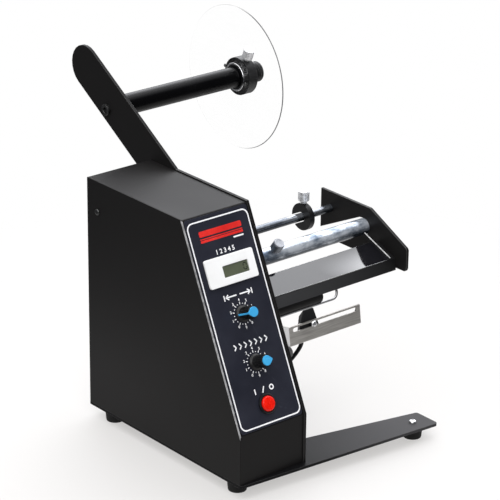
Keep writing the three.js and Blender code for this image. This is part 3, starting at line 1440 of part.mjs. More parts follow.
// Sensor body, wedge-shaped towards its nose, with its clamp screw through the slot and a nut behind
const sensorMiddle = SENSOR_SPACING;
const sensorFoot = SENSOR_SLOT_UP - SENSOR_DROP;
const sensorShoulder = SENSOR_SLOT_UP - SENSOR_SLOT_WIDTH / 2;
const sensorOutline = roundedOutline([
  [sensorMiddle - SENSOR_WIDTH / 2, sensorFoot],
  [sensorMiddle + SENSOR_WIDTH / 2, sensorFoot],
  [sensorMiddle + SENSOR_WIDTH / 2, sensorShoulder],
  [sensorMiddle + SENSOR_NOSE_WIDTH / 2, SENSOR_PLATE_HEIGHT + SENSOR_NOSE_RISE, SENSOR_SHEET],
  [sensorMiddle - SENSOR_NOSE_WIDTH / 2, SENSOR_PLATE_HEIGHT + SENSOR_NOSE_RISE, SENSOR_SHEET],
  [sensorMiddle - SENSOR_WIDTH / 2, sensorShoulder],
]);
const sensorBack = SENSOR_SHEET + CLEARANCE + SENSOR_DEPTH;
const sensorScrewX = sensorMiddle + SENSOR_SCREW_OFFSET;
const alongSlotScrew = (geometry) => geometry.rotateX(QUARTER).translate(sensorScrewX, 0, SENSOR_SLOT_UP);
const sensorScrewHole = alongSlotScrew(
  cylinder(SENSOR_SCREW_RADIUS + CLEARANCE, -sensorBack - OVERRUN, OVERRUN, SMALL_SIDES),
);
add(
  sensorFrame,
  "sensor_body",
  "plasticBlack",
  cut(plate(sensorOutline, SENSOR_DEPTH).rotateX(QUARTER).translate(0, sensorBack, 0), sensorScrewHole),
);
add(
  sensorFrame,
  "sensor_screw",
  "brightSteel",
  alongSlotScrew(
    smallScrew(
      sensorBack + CLEARANCE + SENSOR_NUT_HEIGHT,
      SENSOR_SCREW_RADIUS,
      SENSOR_SCREW_HEAD_RADIUS,
      SENSOR_SCREW_HEAD_HEIGHT,
    ).translate(0, 0, CLEARANCE),
  ),
);
const nutOutline = circlePoints(0, 0, SENSOR_NUT_RADIUS, HEX_SIDES);
const nutBore = circlePoints(0, 0, SENSOR_SCREW_RADIUS + CLEARANCE, SMALL_SIDES);
add(
  sensorFrame,
  "sensor_nut",
  "brightSteel",
  alongSlotScrew(
    plate(nutOutline, SENSOR_NUT_HEIGHT, [nutBore])
      .translate(0, 0, -sensorBack - CLEARANCE - SENSOR_NUT_HEIGHT),
  ),
);

// Grommet in the side plate, lead clip, and the sensor's lead along its real route
add(
  machine,
  "lead_grommet",
  "rubber",
  turnedAlongX(
    [
      [LEAD_RADIUS + CLEARANCE, BOX_WIDTH - GROMMET_REACH],
      [GROMMET_RADIUS, BOX_WIDTH - GROMMET_REACH],
      [GROMMET_RADIUS, SIDE_X],
      [GROMMET_RADIUS + GROMMET_FLANGE, SIDE_X],
      [GROMMET_RADIUS + GROMMET_FLANGE / 2, SIDE_X + GROMMET_REACH],
      [LEAD_RADIUS + CLEARANCE, SIDE_X + GROMMET_REACH],
      [LEAD_RADIUS + CLEARANCE, BOX_WIDTH - GROMMET_REACH],
    ],
    SMALL_SIDES,
    GROMMET_Y,
    GROMMET_Z,
  ),
);
add(
  machine,
  "lead_clip",
  "castGrey",
  joined(
    cylinderAlongX(
      LEAD_CLIP_RADIUS,
      SIDE_X,
      SIDE_X + LEAD_CLIP_LENGTH,
      SMALL_SIDES,
      LEAD_CLIP_Y,
      LEAD_CLIP_Z,
    ),
    cylinderAlongX(
      SMALL_SCREW_RADIUS,
      BOX_WIDTH - SMALL_SCREW_RADIUS,
      SIDE_X + LEAD_CLIP_LENGTH / 2,
      SMALL_SIDES,
      LEAD_CLIP_Y,
      LEAD_CLIP_Z,
    ),
  ),
);
sensorFrame.updateMatrix();
const leadExit = new THREE.Vector3(
  sensorMiddle - SENSOR_WIDTH / 4,
  sensorBack - SENSOR_DEPTH / 2,
  sensorFoot,
)
  .add(new THREE.Vector3(0, 0, -CLEARANCE))
  .applyMatrix4(sensorFrame.matrix);
const leadDown = new THREE.Vector3(0, 0, -1).transformDirection(sensorFrame.matrix);
const leadEnter = new THREE.Vector3(BOX_WIDTH - GROMMET_REACH, GROMMET_Y, GROMMET_Z);
const leadStraight = 3 * LEAD_RADIUS;
const leadHeld = SIDE_THICKNESS + 2 * GROMMET_REACH + LEAD_RADIUS / 2;
const leadDrop = leadExit.clone().addScaledVector(leadDown, leadStraight);
const leadGate = leadEnter.clone().add(new THREE.Vector3(leadHeld + leadStraight, 0, 0));
const leadBow = LEAD_BOW_SHARES.map((share) => {
  const outward = new THREE.Vector3(LEAD_BOW * Math.sin(Math.PI * share), 0, 0);
  return leadDrop.clone().lerp(leadGate, share).add(outward);
});
const leadRoute = new THREE.CatmullRomCurve3(
  [
    leadExit,
    leadDrop,
    ...leadBow,
    leadGate,
    leadEnter.clone().add(new THREE.Vector3(leadHeld, 0, 0)),
    leadEnter,
  ],
  false,
  "centripetal",
);
add(
  machine,
  "sensor_lead",
  "plasticBlack",
  new THREE.ExtrudeGeometry(new THREE.Shape(circlePoints(0, 0, LEAD_RADIUS, WIRE_SIDES)), {
    steps: LEAD_STEPS,
    bevelEnabled: false,
    extrudePath: leadRoute,
  }),
);

// Circuit board on four legs
const boardFrom = [COVER_SHEET + BOARD_MARGIN, BOARD_FRONT_Y, BOARD_RISE];
const boardTo = [
  BOX_WIDTH - BOARD_MARGIN,
  BOARD_FRONT_Y + BOARD_DEPTH,
  BOARD_RISE + BOARD_THICKNESS,
];
const boardLegs = [boardFrom[0], boardTo[0]].flatMap((x, side) =>
  [boardFrom[1], boardTo[1]].map((y, end) =>
    cylinder(BOARD_LEG_RADIUS, 0, BOARD_RISE + BOARD_THICKNESS / 2, SMALL_SIDES).translate(
      x + (side ? -1 : 1) * 2 * BOARD_LEG_RADIUS,
      y + (end ? -1 : 1) * 2 * BOARD_LEG_RADIUS,
      0,
    ),
  ),
);
add(machine, "circuit_board", "board", joined(box(boardFrom, boardTo), ...boardLegs));

// Power inlet on the rear wall, with its contact pin
const inletProfile = [
  [0, -INLET_DEPTH],
  [INLET_RADIUS, -INLET_DEPTH],
  [INLET_RADIUS, 0],
  [INLET_FLANGE_RADIUS, 0],
  [INLET_FLANGE_RADIUS, INLET_FLANGE],
  [INLET_BORE_RADIUS, INLET_FLANGE],
  [INLET_BORE_RADIUS, INLET_FLANGE - INLET_DEPTH / 2],
  [INLET_PIN_RADIUS, INLET_FLANGE - INLET_DEPTH / 2],
  [INLET_PIN_RADIUS, 0],
  [0, 0],
];
add(
  machine,
  "power_inlet",
  "plasticBlack",
  turned(inletProfile, 2 * SMALL_SIDES).rotateX(-QUARTER).translate(BOX_MIDDLE, BOX_DEPTH, INLET_Z),
);

// The feet stand on Z = 0, and the origin is the middle of the machine's outline on the floor.
machine.updateMatrixWorld(true);
const bounds = new THREE.Box3().setFromObject(machine);
machine.position.set(
  -(bounds.min.x + bounds.max.x) / 2,
  -(bounds.min.y + bounds.max.y) / 2,
  -bounds.min.z,
);

export default machine;
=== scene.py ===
import math

import bmesh
import bpy
from mathutils import Matrix, Vector


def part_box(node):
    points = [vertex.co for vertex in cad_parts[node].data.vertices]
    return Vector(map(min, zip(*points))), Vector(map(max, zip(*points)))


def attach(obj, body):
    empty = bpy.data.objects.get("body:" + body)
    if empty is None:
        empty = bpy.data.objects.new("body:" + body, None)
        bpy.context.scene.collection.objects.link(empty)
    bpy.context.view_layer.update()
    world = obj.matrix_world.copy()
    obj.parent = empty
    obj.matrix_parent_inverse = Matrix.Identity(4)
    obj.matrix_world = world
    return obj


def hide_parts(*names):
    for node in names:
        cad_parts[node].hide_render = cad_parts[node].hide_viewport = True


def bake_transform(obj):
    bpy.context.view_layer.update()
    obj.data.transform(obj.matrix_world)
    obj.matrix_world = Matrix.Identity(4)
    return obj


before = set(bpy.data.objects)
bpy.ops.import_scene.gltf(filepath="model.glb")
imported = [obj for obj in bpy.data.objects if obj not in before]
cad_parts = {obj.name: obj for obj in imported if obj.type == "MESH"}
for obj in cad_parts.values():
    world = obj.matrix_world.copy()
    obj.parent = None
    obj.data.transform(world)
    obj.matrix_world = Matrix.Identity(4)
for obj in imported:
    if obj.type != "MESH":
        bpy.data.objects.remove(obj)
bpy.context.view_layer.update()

# Machine millimetres: the control box's left front corner on the base plate is the origin
MILLIMETRE = 0.001
MACHINE = Matrix.Translation(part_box("cover_shell")[0]) @ Matrix.Scale(MILLIMETRE, 4)
QUARTER = math.pi / 2
SEAM = 0.004
FINE_STEP = math.radians(6)
COARSE_STEP = math.radians(30)

# Sizes of the machine, in millimetres
BOX_WIDTH = 75.9
BOX_HEIGHT = 235.4
FRONT_HEIGHT = 49.8
SLANT_RUN = 86.3
SLANT_ANGLE = math.atan2(BOX_HEIGHT - FRONT_HEIGHT, SLANT_RUN)
SLANT_LENGTH = math.hypot(BOX_HEIGHT - FRONT_HEIGHT, SLANT_RUN)
SIDE_X = 78.9
OUTER_X = 232.0
SPINDLE = (298.5, 267.6)
TUBE = (93.0, 170.15)
ROD = (141.7, 174.1)
TAKEUP = (150.0, 79.0)
SPINDLE_RADIUS = 10.6
TUBE_RADIUS = 8
ROD_RADIUS = 4
MIDDLE_X = BOX_WIDTH / 2
PANEL_FACE = 1.1
PRINT_DEPTH = 0.08
DIAL_UPS = {"length": 107.1, "speed": 61.0}
DIAL_TURNS = {"length": math.pi, "speed": 0.0}
SWITCH_UP = 21.3
COUNTER_UP = 149.9
WINDOW = (43.15, 148.6, 30.0, 10.8)


def scene_x(x):
    """A place along the machine's X, on the finished object."""
    return (MACHINE @ Vector((x, 0, 0))).x


def scene_y(y):
    """A place along the machine's Y, on the finished object."""
    return (MACHINE @ Vector((0, y, 0))).y


# The peel sheet's bump makes it look bowed near its right end: where that starts and ends, how far it falls,
# and how much further to the right it starts at the sheet's long edges
BOW_REACH = scene_x(145), scene_x(223.4)
BOW_FALL = 0.0066
BOW_CROWN = 0.008
PEEL_LOW, PEEL_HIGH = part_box("peel_plate")

# Where round the press tube and the guide rod their painted dark reflection lies
DARK_REFLECTION_SIDE = math.radians(241.6)


# Frames in which the pieces are drawn
def at(x, y, z):
    return Matrix.Translation((x, y, z))


def along_x(y, z, x=0.0):
    """Drawn about +Z, laid along +X with its axis through y and z."""
    return at(x, y, z) @ Matrix.Rotation(QUARTER, 4, "Y")


def radial(x, centre, angle, start):
    """Drawn about +Z, standing out radially from an axis along X."""
    return at(x, *centre) @ Matrix.Rotation(angle - QUARTER, 4, "X") @ at(0, 0, start)


PANEL = at(0, 0, FRONT_HEIGHT) @ Matrix.Rotation(SLANT_ANGLE, 4, "X")


# Node helpers for the finishes, the rows of marks and the studio
def put(node, **values):
    """Sets inputs of a node; an underscore stands for a space in an input's name."""
    for title, value in values.items():
        node.inputs[title.replace("_", " ")].default_value = value


def reckon(tree, operation, *terms):
    """A math node on numbers or on the outputs of other nodes."""
    node = tree.nodes.new("ShaderNodeMath")
    node.operation = operation
    for term, socket in zip(terms, node.inputs):
        if isinstance(term, (int, float)):
            socket.default_value = term
        else:
            tree.links.new(term, socket)
    return node.outputs[0]


def ranged(tree, value, low, high, to_low=0.0, to_high=1.0, kind="LINEAR"):
    """A value carried from one range to another, held at its ends."""
    node = tree.nodes.new("ShaderNodeMapRange")
    node.interpolation_type = kind
    put(node, From_Min=low, From_Max=high, To_Min=to_low, To_Max=to_high)
    tree.links.new(value, node.inputs["Value"])
    return node.outputs["Result"]


# Finishes
class Finish:
    """One procedural material, with its nodes added step by step on Object coordinates."""

    def __init__(self, name, metallic=0.0, specular=0.5, coat=0.0, coat_rough=0.1):
        self.material = bpy.data.materials.new(name)
        self.material.use_nodes = True
        self.tree = self.material.node_tree
        self.shader = self.tree.nodes["Principled BSDF"]
        put(self.shader, Metallic=metallic, Specular_IOR_Level=specular)
        put(self.shader, Coat_Weight=coat, Coat_Roughness=coat_rough)
        self.place = self.tree.nodes.new("ShaderNodeTexCoord").outputs["Object"]
        self.heights = []

    def link(self, a, b):
        self.tree.links.new(a, b)

    def axes(self):
        """The Object coordinates one by one."""
        split = self.tree.nodes.new("ShaderNodeSeparateXYZ")
        self.link(self.place, split.inputs["Vector"])
        return split.outputs

    def noise(self, scale, detail=3.0, stretch=(1, 1, 1), rough=0.55):
        mapping = self.tree.nodes.new("ShaderNodeMapping")
        put(mapping, Scale=stretch)
        self.link(self.place, mapping.inputs["Vector"])
        node = self.tree.nodes.new("ShaderNodeTexNoise")
        put(node, Scale=scale, Detail=detail, Roughness=rough)
        self.link(mapping.outputs["Vector"], node.inputs["Vector"])
        return node.outputs["Fac"]

    def spread(self, value, low, high, to_low=0.0, to_high=1.0):
        return ranged(self.tree, value, low, high, to_low, to_high)

    def times(self, a, b):
        return reckon(self.tree, "MULTIPLY", a, b)

    def plus(self, a, b):
        return reckon(self.tree, "ADD", a, b)

    def mix(self, factor, a, b):
        node = self.tree.nodes.new("ShaderNodeMix")
        node.data_type = "RGBA"
        for value, socket in ((factor, node.inputs[0]), (a, node.inputs[6]), (b, node.inputs[7])):
            if isinstance(value, tuple):
                socket.default_value = (*value, 1.0)
            else:
                self.link(value, socket)
        return node.outputs[2]

    def colour(self, value):
        self.link(value, self.shader.inputs["Base Color"])

    def roughness(self, value):
        self.link(value, self.shader.inputs["Roughness"])

    def bump(self, height, strength, distance):
        node = self.tree.nodes.new("ShaderNodeBump")
        put(node, Strength=strength, Distance=distance)
        self.link(height, node.inputs["Height"])
        if self.heights:
            self.link(self.heights[-1], node.inputs["Normal"])
        self.heights.append(node.outputs["Normal"])
        self.link(node.outputs["Normal"], self.shader.inputs["Normal"])

    def worn_edges(self):
        """Where the surface turns sharply outward, broken up by a noise."""
        point = self.tree.nodes.new("ShaderNodeNewGeometry").outputs["Pointiness"]
        return self.times(self.spread(point, 0.56, 0.64), self.spread(self.noise(260), 0.42, 0.6))


def powder_coat(name, deep, light, rough=(0.4, 0.52), specular=0.085, rub_and_highlight=0.0, bare_and_highlight=None, ends=None):
    """Powder-coated sheet: near black with a fine grain.

    Between two ends along X it turns from deep to light as a painted shade or, on an edge coat, from covered
    to a painted highlight.
    """
    f = Finish(name, specular=specular)
    grain = f.noise(2600, 2.0)
    cloud = f.noise(7, 2.0)
    share = f.times(f.spread(grain, 0.3, 0.75), f.spread(cloud, 0.3, 0.7, 0.8, 1.0))
    if ends:
        along = f.spread(f.axes()["X"], *ends)
    if ends and not rub_and_highlight:
        share = f.plus(f.times(share, 0.25), along)
    body = f.mix(share, deep, light)
    # On edge coats this is real wear on the plates and a painted highlight on the cover's fold and the tray's
    # edge
    if rub_and_highlight:
        wear_and_highlight = f.spread(f.noise(190, 4.0), 0.38, 0.66, rub_and_highlight * 0.5, rub_and_highlight)
        body = f.mix(f.times(wear_and_highlight, along) if ends else wear_and_highlight, body, bare_and_highlight)
    f.colour(body)
    f.roughness(f.spread(f.plus(grain, cloud), 0.75, 1.3, *rough))
    f.bump(grain, 0.12, 0.00008)
    return f.material


def rubbed_coat(name, rub_and_highlight, bare_and_highlight, ends=None):
    """Powder coat for bevel edges, lightened towards a bare tone: real wear on the plates, a painted
    highlight on the cover's fold and the tray's edge.
    """
    deep, light = (0.0075, 0.0073, 0.007), (0.012, 0.0117, 0.0115)
    return powder_coat(name, deep, light, (0.25, 0.36), 0.3, rub_and_highlight, bare_and_highlight, ends)


def moulded(name, deep, light, rough=(0.35, 0.5), grain=700, bump=0.08, specular=0.5, coat=0.0):
    """Moulded plastic or rubber: soft clouding and a fine skin."""
    f = Finish(name, specular=specular, coat=coat)
    skin = f.noise(grain, 2.0)
    cloud = f.noise(35, 3.0)
    body = f.mix(f.spread(cloud, 0.3, 0.72), deep, light)
    rub = tuple(min(1.0, c * 1.25 + 0.01) for c in light)
    f.colour(f.mix(f.times(f.worn_edges(), 0.5), body, rub))
    f.roughness(f.spread(f.plus(skin, cloud), 0.75, 1.3, *rough))
    f.bump(skin, bump, 0.0001)
    return f.material


def metal(name, deep, light, rough=(0.15, 0.3), stretch=(1, 1, 1), grain=300, bump=0.05, metallic=1.0):
    """Bare or plated metal: drawn or turned marks along the stretch, and a faint mottle."""
    f = Finish(name, metallic=metallic)
    marks = f.noise(grain, 4.0, stretch)
    cloud = f.noise(55, 4.0, rough=0.65)
    body = f.mix(f.spread(marks, 0.3, 0.7), deep, light)
    bright = tuple(min(1.0, c * 1.2) for c in light)
    f.colour(f.mix(f.times(f.worn_edges(), 0.7), body, bright))
    f.roughness(f.spread(f.plus(marks, cloud), 0.7, 1.3, *rough))
    f.bump(marks, bump, 0.00008)
    return f.material


def plated(name, axis, radius, bright, dull, reflection_band, metallic, reflection_tone):
    """Chrome plating on a tube along X: clouded blue-grey, with a painted dark reflection low on its front
    side.
    """
    f = Finish(name, metallic=metallic)
    streak = f.noise(120, 5.0, (0.35, 1, 1), 0.65)
    patch = f.noise(50, 4.0, (0.55, 1, 1), 0.7)
    clouded = f.mix(f.spread(patch, 0.4, 0.58), bright, dull)
    plain = f.mix(f.times(f.spread(streak, 0.52, 0.68), 0.45), clouded, bright)
    axes = f.axes()
    centre = MACHINE @ Vector((0, *axis))
    low_side = Vector((math.cos(DARK_REFLECTION_SIDE), math.sin(DARK_REFLECTION_SIDE)))
    ahead = f.times(f.plus(axes["Y"], -centre.y), low_side.x)
    below = f.times(f.plus(axes["Z"], -centre.z), low_side.y)
    side = f.times(f.plus(ahead, below), 1 / (radius * MILLIMETRE))
    broken = f.plus(side, f.spread(patch, 0.3, 0.7, -0.16, 0.16))
    # Painted reflection: the colour darkens towards the front underside of the tube
    f.colour(f.mix(f.spread(broken, *reflection_band), plain, tuple(c * reflection_tone for c in dull)))
    f.roughness(f.spread(patch, 0.35, 0.65, 0.09, 0.22))
    f.bump(streak, 0.1, 0.00012)
    return f.material


def clear_sheet(name, deep, light, veil, ahead=None):
    """Clear acrylic with a faint haze; between two places ahead, a painted shade on the ground edge gets
    denser.
    """
    f = Finish(name, specular=0.4)
    haze = f.noise(90, 5.0, (1, 0.3, 1), 0.65)
    f.colour(f.mix(f.spread(haze, 0.3, 0.7), deep, light))
    f.roughness(f.spread(haze, 0.4, 0.8, 0.06, 0.2))
    cover = f.spread(haze, 0.35, 0.75, *veil)
    if ahead:
        cover = f.times(cover, f.spread(f.axes()["Y"], *ahead, 0.2, 1.0))
    f.link(cover, f.shader.inputs["Alpha"])
    return f.material


def bowed_gloss(name):
    """Gloss black lacquer on a thin sheet, with a bump that makes it look bowed down towards its right end,
    and duller there.
    """
    f = Finish(name, specular=0.42, coat=1.0, coat_rough=0.03)
    cloud = f.noise(60, 3.0)
    f.colour(f.mix(f.spread(cloud, 0.3, 0.7), (0.004, 0.004, 0.005), (0.008, 0.008, 0.01)))
    f.roughness(f.spread(cloud, 0.3, 0.7, 0.05, 0.09))
    axes = f.axes()
    across = f.plus(axes["Y"], -(PEEL_LOW[1] + PEEL_HIGH[1]) / 2)
    across = f.times(across, 2 / (PEEL_HIGH[1] - PEEL_LOW[1]))
    crown = f.times(f.times(across, across), -BOW_CROWN)
    along = f.spread(f.plus(axes["X"], crown), *BOW_REACH)
    f.link(f.spread(along, 0.66, 0.76, 0.96, 0.05), f.shader.inputs["Coat Weight"])
    f.bump(f.times(f.times(along, along), -1.0), 1.0, BOW_FALL)
    f.link(f.heights[-1], f.shader.inputs["Coat Normal"])
    return f.material


def lit_lens(name):
    """Red lens of the power button, with a little glow of its own."""
    f = Finish(name, specular=0.2, coat=0.1, coat_rough=0.12)
    cloud = f.noise(420, 2.0)
    f.colour(f.mix(f.spread(cloud, 0.3, 0.7), (0.6, 0.005, 0.0012), (0.76, 0.01, 0.0015)))
    f.roughness(f.spread(cloud, 0.3, 0.7, 0.16, 0.3))
    f.bump(cloud, 0.04, 0.0001)
    put(f.shader, Emission_Color=(1.0, 0.01, 0.0, 1.0), Emission_Strength=0.1)
    return f.material


COAT = powder_coat("black_powder_coat", (0.0075, 0.0071, 0.0071), (0.0118, 0.0112, 0.0112))
# Painted shade on the tray sheet: near black towards the outer plate, lighter towards its left end
TRAY_SHADE_ENDS = scene_x(232), scene_x(79)
TRAY_COAT = powder_coat(
    "tray_powder_coat", (0.004, 0.004, 0.0042), (0.05, 0.05, 0.052), specular=0.12, ends=TRAY_SHADE_ENDS,
)
RUBBED = rubbed_coat("rubbed_powder_coat", 0.16, (0.24, 0.235, 0.23))
# Painted highlight on the tray's bevel edges, growing towards its right end
TRAY_EDGE_HIGHLIGHT = rubbed_coat("tray_edge_painted_highlight", 1.0, (0.62, 0.62, 0.62), (scene_x(185), scene_x(220)))
# Painted highlight on the cover's folds
FOLD_HIGHLIGHT = rubbed_coat("cover_fold_painted_highlight", 0.85, (0.5, 0.5, 0.51))
# Painted shade on the base plate: darker near the control box, lighter towards the arm's end
BASE_SHADE_ENDS = scene_x(86), scene_x(215)
BASE_COAT = powder_coat(
    "base_powder_coat", (0.003, 0.003, 0.0035), (0.042, 0.041, 0.043), specular=0.045, ends=BASE_SHADE_ENDS,
)
BLACK = moulded("black_plastic", (0.0035, 0.0035, 0.004), (0.008, 0.008, 0.0085), (0.3, 0.42), specular=0.3)
HUB_BLACK = moulded(
    "black_acetal", (0.0032, 0.0032, 0.0036), (0.0075, 0.0075, 0.0082), (0.3, 0.42), specular=0.25,
)
SATIN = moulded(
    "black_spindle", (0.0006, 0.0006, 0.0009), (0.0014, 0.0014, 0.0018), (0.2, 0.28), 1200, 0.04, 0.1,
)
NAVY = moulded("navy_overlay", (0.0125, 0.0135, 0.022), (0.0195, 0.021, 0.032), (0.34, 0.46), 1800, 0.1, 0.25)
WHITE = moulded("white_plastic", (0.86, 0.86, 0.85), (0.93, 0.93, 0.93), (0.35, 0.5), 900, 0.04)
INK = moulded("white_ink", (0.86, 0.86, 0.87), (0.97, 0.97, 0.98), (0.4, 0.55), 1500, 0.04)
RED_INK = moulded("red_ink", (0.6, 0.015, 0.012), (0.8, 0.03, 0.022), (0.4, 0.55), 900, 0.04, 0.25)
GLASS = moulded(
    "display_glass", (0.075, 0.087, 0.055), (0.105, 0.12, 0.078), (0.08, 0.16), 300, 0.01, coat=0.2,
)
DIGIT = moulded("display_digit", (0.008, 0.01, 0.007), (0.02, 0.024, 0.016), (0.2, 0.3))
SKY = moulded("sky_blue_plastic", (0.031, 0.3, 0.62), (0.05, 0.4, 0.74), (0.3, 0.45), 700, 0.05)
RUBBER = moulded("foot_rubber", (0.004, 0.004, 0.004), (0.01, 0.01, 0.01), (0.6, 0.8), 500, 0.2, 0.2)
LEAD = moulded("lead_jacket", (0.004, 0.004, 0.005), (0.01, 0.01, 0.011), (0.35, 0.5), 500, 0.1, 0.3)
GREY = moulded("grey_clip", (0.075, 0.074, 0.075), (0.12, 0.118, 0.12), (0.45, 0.6), 500, 0.1)
NYLON = moulded("gear_nylon", (0.58, 0.56, 0.47), (0.72, 0.7, 0.6), (0.4, 0.55), 400, 0.06)
BOARD = moulded("circuit_board_green", (0.008, 0.07, 0.025), (0.015, 0.12, 0.045), (0.3, 0.45), 500, 0.05)
STEEL = metal("bright_steel", (0.5, 0.5, 0.51), (0.76, 0.76, 0.77), (0.14, 0.3), grain=420)
NICKEL = metal("nickel_knurl", (0.62, 0.62, 0.63), (0.86, 0.86, 0.87), (0.24, 0.36), grain=420, metallic=0.6)
# A darker copy of the knurled nickel, for the press tube's thumb screw
DARK_NICKEL = metal(
    "dark_nickel_knurl", (0.17, 0.185, 0.21), (0.32, 0.34, 0.38), (0.24, 0.36), grain=420, metallic=0.8,
)
TURNED = metal(
    "turned_nickel_end", (0.26, 0.27, 0.29), (0.42, 0.43, 0.46), (0.3, 0.42), grain=700, metallic=0.75,
)
WIRE_STEEL = metal("spring_wire", (0.2, 0.2, 0.205), (0.36, 0.36, 0.365), (0.16, 0.26), (0.08, 1, 1), 500)
# Both carry a painted dark reflection low on their front side
ROD_STEEL = plated(
    "plated_rod", ROD, ROD_RADIUS, (0.44, 0.46, 0.5), (0.13, 0.145, 0.17), (-0.1, 0.45), 0.84, 0.3,
)
PLATED = plated(
    "plated_tube", TUBE, TUBE_RADIUS, (0.82, 0.87, 0.94), (0.15, 0.195, 0.26), (0.2, 0.75), 0.62, 0.2,
)
# Painted highlight on the sensor bracket's bend
BEND_HIGHLIGHT = moulded("bend_painted_highlight", (0.84, 0.83, 0.82), (0.93, 0.925, 0.92), (0.3, 0.45), 500, 0.05)
BRUSHED = metal(
    "brushed_steel", (0.46, 0.44, 0.41), (0.66, 0.637, 0.6), (0.32, 0.46), (0.05, 1, 1), 900, 0.12,
)
BOLT = metal("blackened_bolt", (0.05, 0.05, 0.05), (0.1, 0.1, 0.1), (0.3, 0.45), grain=500)
CAST = metal("cast_grey", (0.3, 0.3, 0.31), (0.42, 0.42, 0.43), (0.45, 0.6), grain=260, bump=0.2)
BRONZE = metal("bush_bronze", (0.36, 0.21, 0.08), (0.5, 0.3, 0.13), (0.3, 0.45), grain=260)
ACRYLIC = clear_sheet("clear_acrylic", (0.93, 0.935, 0.94), (0.98, 0.985, 0.99), (0.0, 0.02))
EDGE_REACH = scene_y(SPINDLE[0] - 2), scene_y(SPINDLE[0] - 30)
# Painted shade on the disc's ground rim, dense on its front side and faint behind
EDGE = clear_sheet("acrylic_rim_painted_shade", (0.015, 0.015, 0.017), (0.05, 0.05, 0.054), (0.85, 1.0), EDGE_REACH)
GLOSS = bowed_gloss("gloss_black_plate")
LENS = lit_lens("red_lens")


# Drawing: profiles, turned pieces and flat stock
def arc_points(centre, radius, start, turn, step=FINE_STEP):
    steps = max(2, math.ceil(abs(turn) / step))
    angles = [start + turn * k / steps for k in range(steps + 1)]
    return [centre + Vector((radius * math.cos(a), radius * math.sin(a))) for a in angles]


def eased(corners, step=math.radians(15)):
    """Closed outline through corners (u, v, radius), with an arc where a radius is given."""
    points = []
    for i, (u, v, *given) in enumerate(corners):
        corner = Vector((u, v))
        radius = given[0] if given else 0
        before = (Vector(corners[i - 1][:2]) - corner).normalized()
        after = (Vector(corners[(i + 1) % len(corners)][:2]) - corner).normalized()
        half = math.acos(max(-1.0, min(1.0, before.dot(after)))) / 2
        if not radius or half > QUARTER - 0.01:
            points.append(corner)
            continue
        centre = corner + (before + after).normalized() * radius / math.sin(half)
        start = corner + before * radius / math.tan(half) - centre
        end = corner + after * radius / math.tan(half) - centre
        cross = start.x * end.y - start.y * end.x
        turn = math.copysign(math.pi - 2 * half, cross)
        points += arc_points(centre, radius, math.atan2(start.y, start.x), turn, step)
    return points


def turn_angles(sides):
    return [2 * math.pi * k / sides for k in range(sides)]


def circle(u, v, radius):
    return [Vector((u + radius * math.cos(a), v + radius * math.sin(a))) for a in turn_angles(48)]


def rectangle(u, v, width, height, radius=0.0, step=FINE_STEP):
    signs = ((-1, -1), (1, -1), (1, 1), (-1, 1))
    return eased([(u + width / 2 * a, v + height / 2 * b, radius) for a, b in signs], step)


GUARD = 0.8


def guarded(profile, closed):
    """The profile with a ring added close to both ends of each long run, so that wear stays at edges."""
    ends = profile[1:] + profile[:1] if closed else profile[1:]
    points = []
    for (r0, h0), (r1, h1) in zip(profile, ends):
        points.append((r0, h0))
        length = math.hypot(r1 - r0, h1 - h0)
        if length > 4 * GUARD:
            for share in (GUARD / length, 1 - GUARD / length):
                points.append((r0 + (r1 - r0) * share, h0 + (h1 - h0) * share))
    return points if closed else [*points, profile[-1]]


def lathe(bm, profile, placing, sides=64, closed=False):
    """Turns a profile of (radius, height) points about +Z; an open profile starts and ends on the axis."""
    angles = turn_angles(sides)
    rings = []
    for radius, height in guarded(profile, closed):
        if radius < SEAM:
            rings.append([bm.verts.new(placing @ Vector((0, 0, height)))])
            continue
        ring = [Vector((radius * math.cos(a), radius * math.sin(a), height)) for a in angles]
        rings.append([bm.verts.new(placing @ point) for point in ring])
    pairs = list(zip(rings, rings[1:]))
    if closed:
        pairs.append((rings[-1], rings[0]))
    for low, high in pairs:
        for k in range(sides):
            j = (k + 1) % sides
            if len(low) == 1 and len(high) == 1:
                break
            if len(low) == 1:
                corners = (low[0], high[j], high[k])
            elif len(high) == 1:
                corners = (low[k], low[j], high[0])
            else:
                corners = (low[k], low[j], high[j], high[k])
            bm.faces.new(corners)


def mesh_of(obj):
    """The evaluated mesh of an object that is then removed."""
    bpy.context.scene.collection.objects.link(obj)
    bpy.context.view_layer.update()
    graph = bpy.context.evaluated_depsgraph_get()
    mesh = bpy.data.meshes.new_from_object(obj.evaluated_get(graph), depsgraph=graph)
    bpy.data.objects.remove(obj)
    return mesh


def take_in(bm, mesh, placing, finish=0):
    """Adds a mesh to the drawing, in the given frame."""
    mesh.transform(placing)
    first = len(bm.faces)
    bm.from_mesh(mesh)
    bm.faces.ensure_lookup_table()
    for face in bm.faces[first:]:
        face.material_index = finish
    bpy.data.meshes.remove(mesh)


def stock(bm, outline, thickness, placing, holes=(), ease=0.15, finish=0):
    """Flat stock from z = 0 up, with its edges eased by a small round."""
    curve = bpy.data.curves.new("stock", "CURVE")
    curve.dimensions, curve.fill_mode = "2D", "BOTH"
    curve.extrude = thickness / 2 - ease
    curve.bevel_depth, curve.bevel_resolution, curve.offset = ease, 1, -ease
    for loop in (outline, *holes):
        spline = curve.splines.new("POLY")
        spline.points.add(len(loop) - 1)
        for point, corner in zip(spline.points, loop):
            point.co = (corner[0], corner[1], 0, 1)
        spline.use_cyclic_u = True
    mesh = mesh_of(bpy.data.objects.new("stock", curve))
    take_in(bm, mesh, placing @ at(0, 0, thickness / 2), finish)


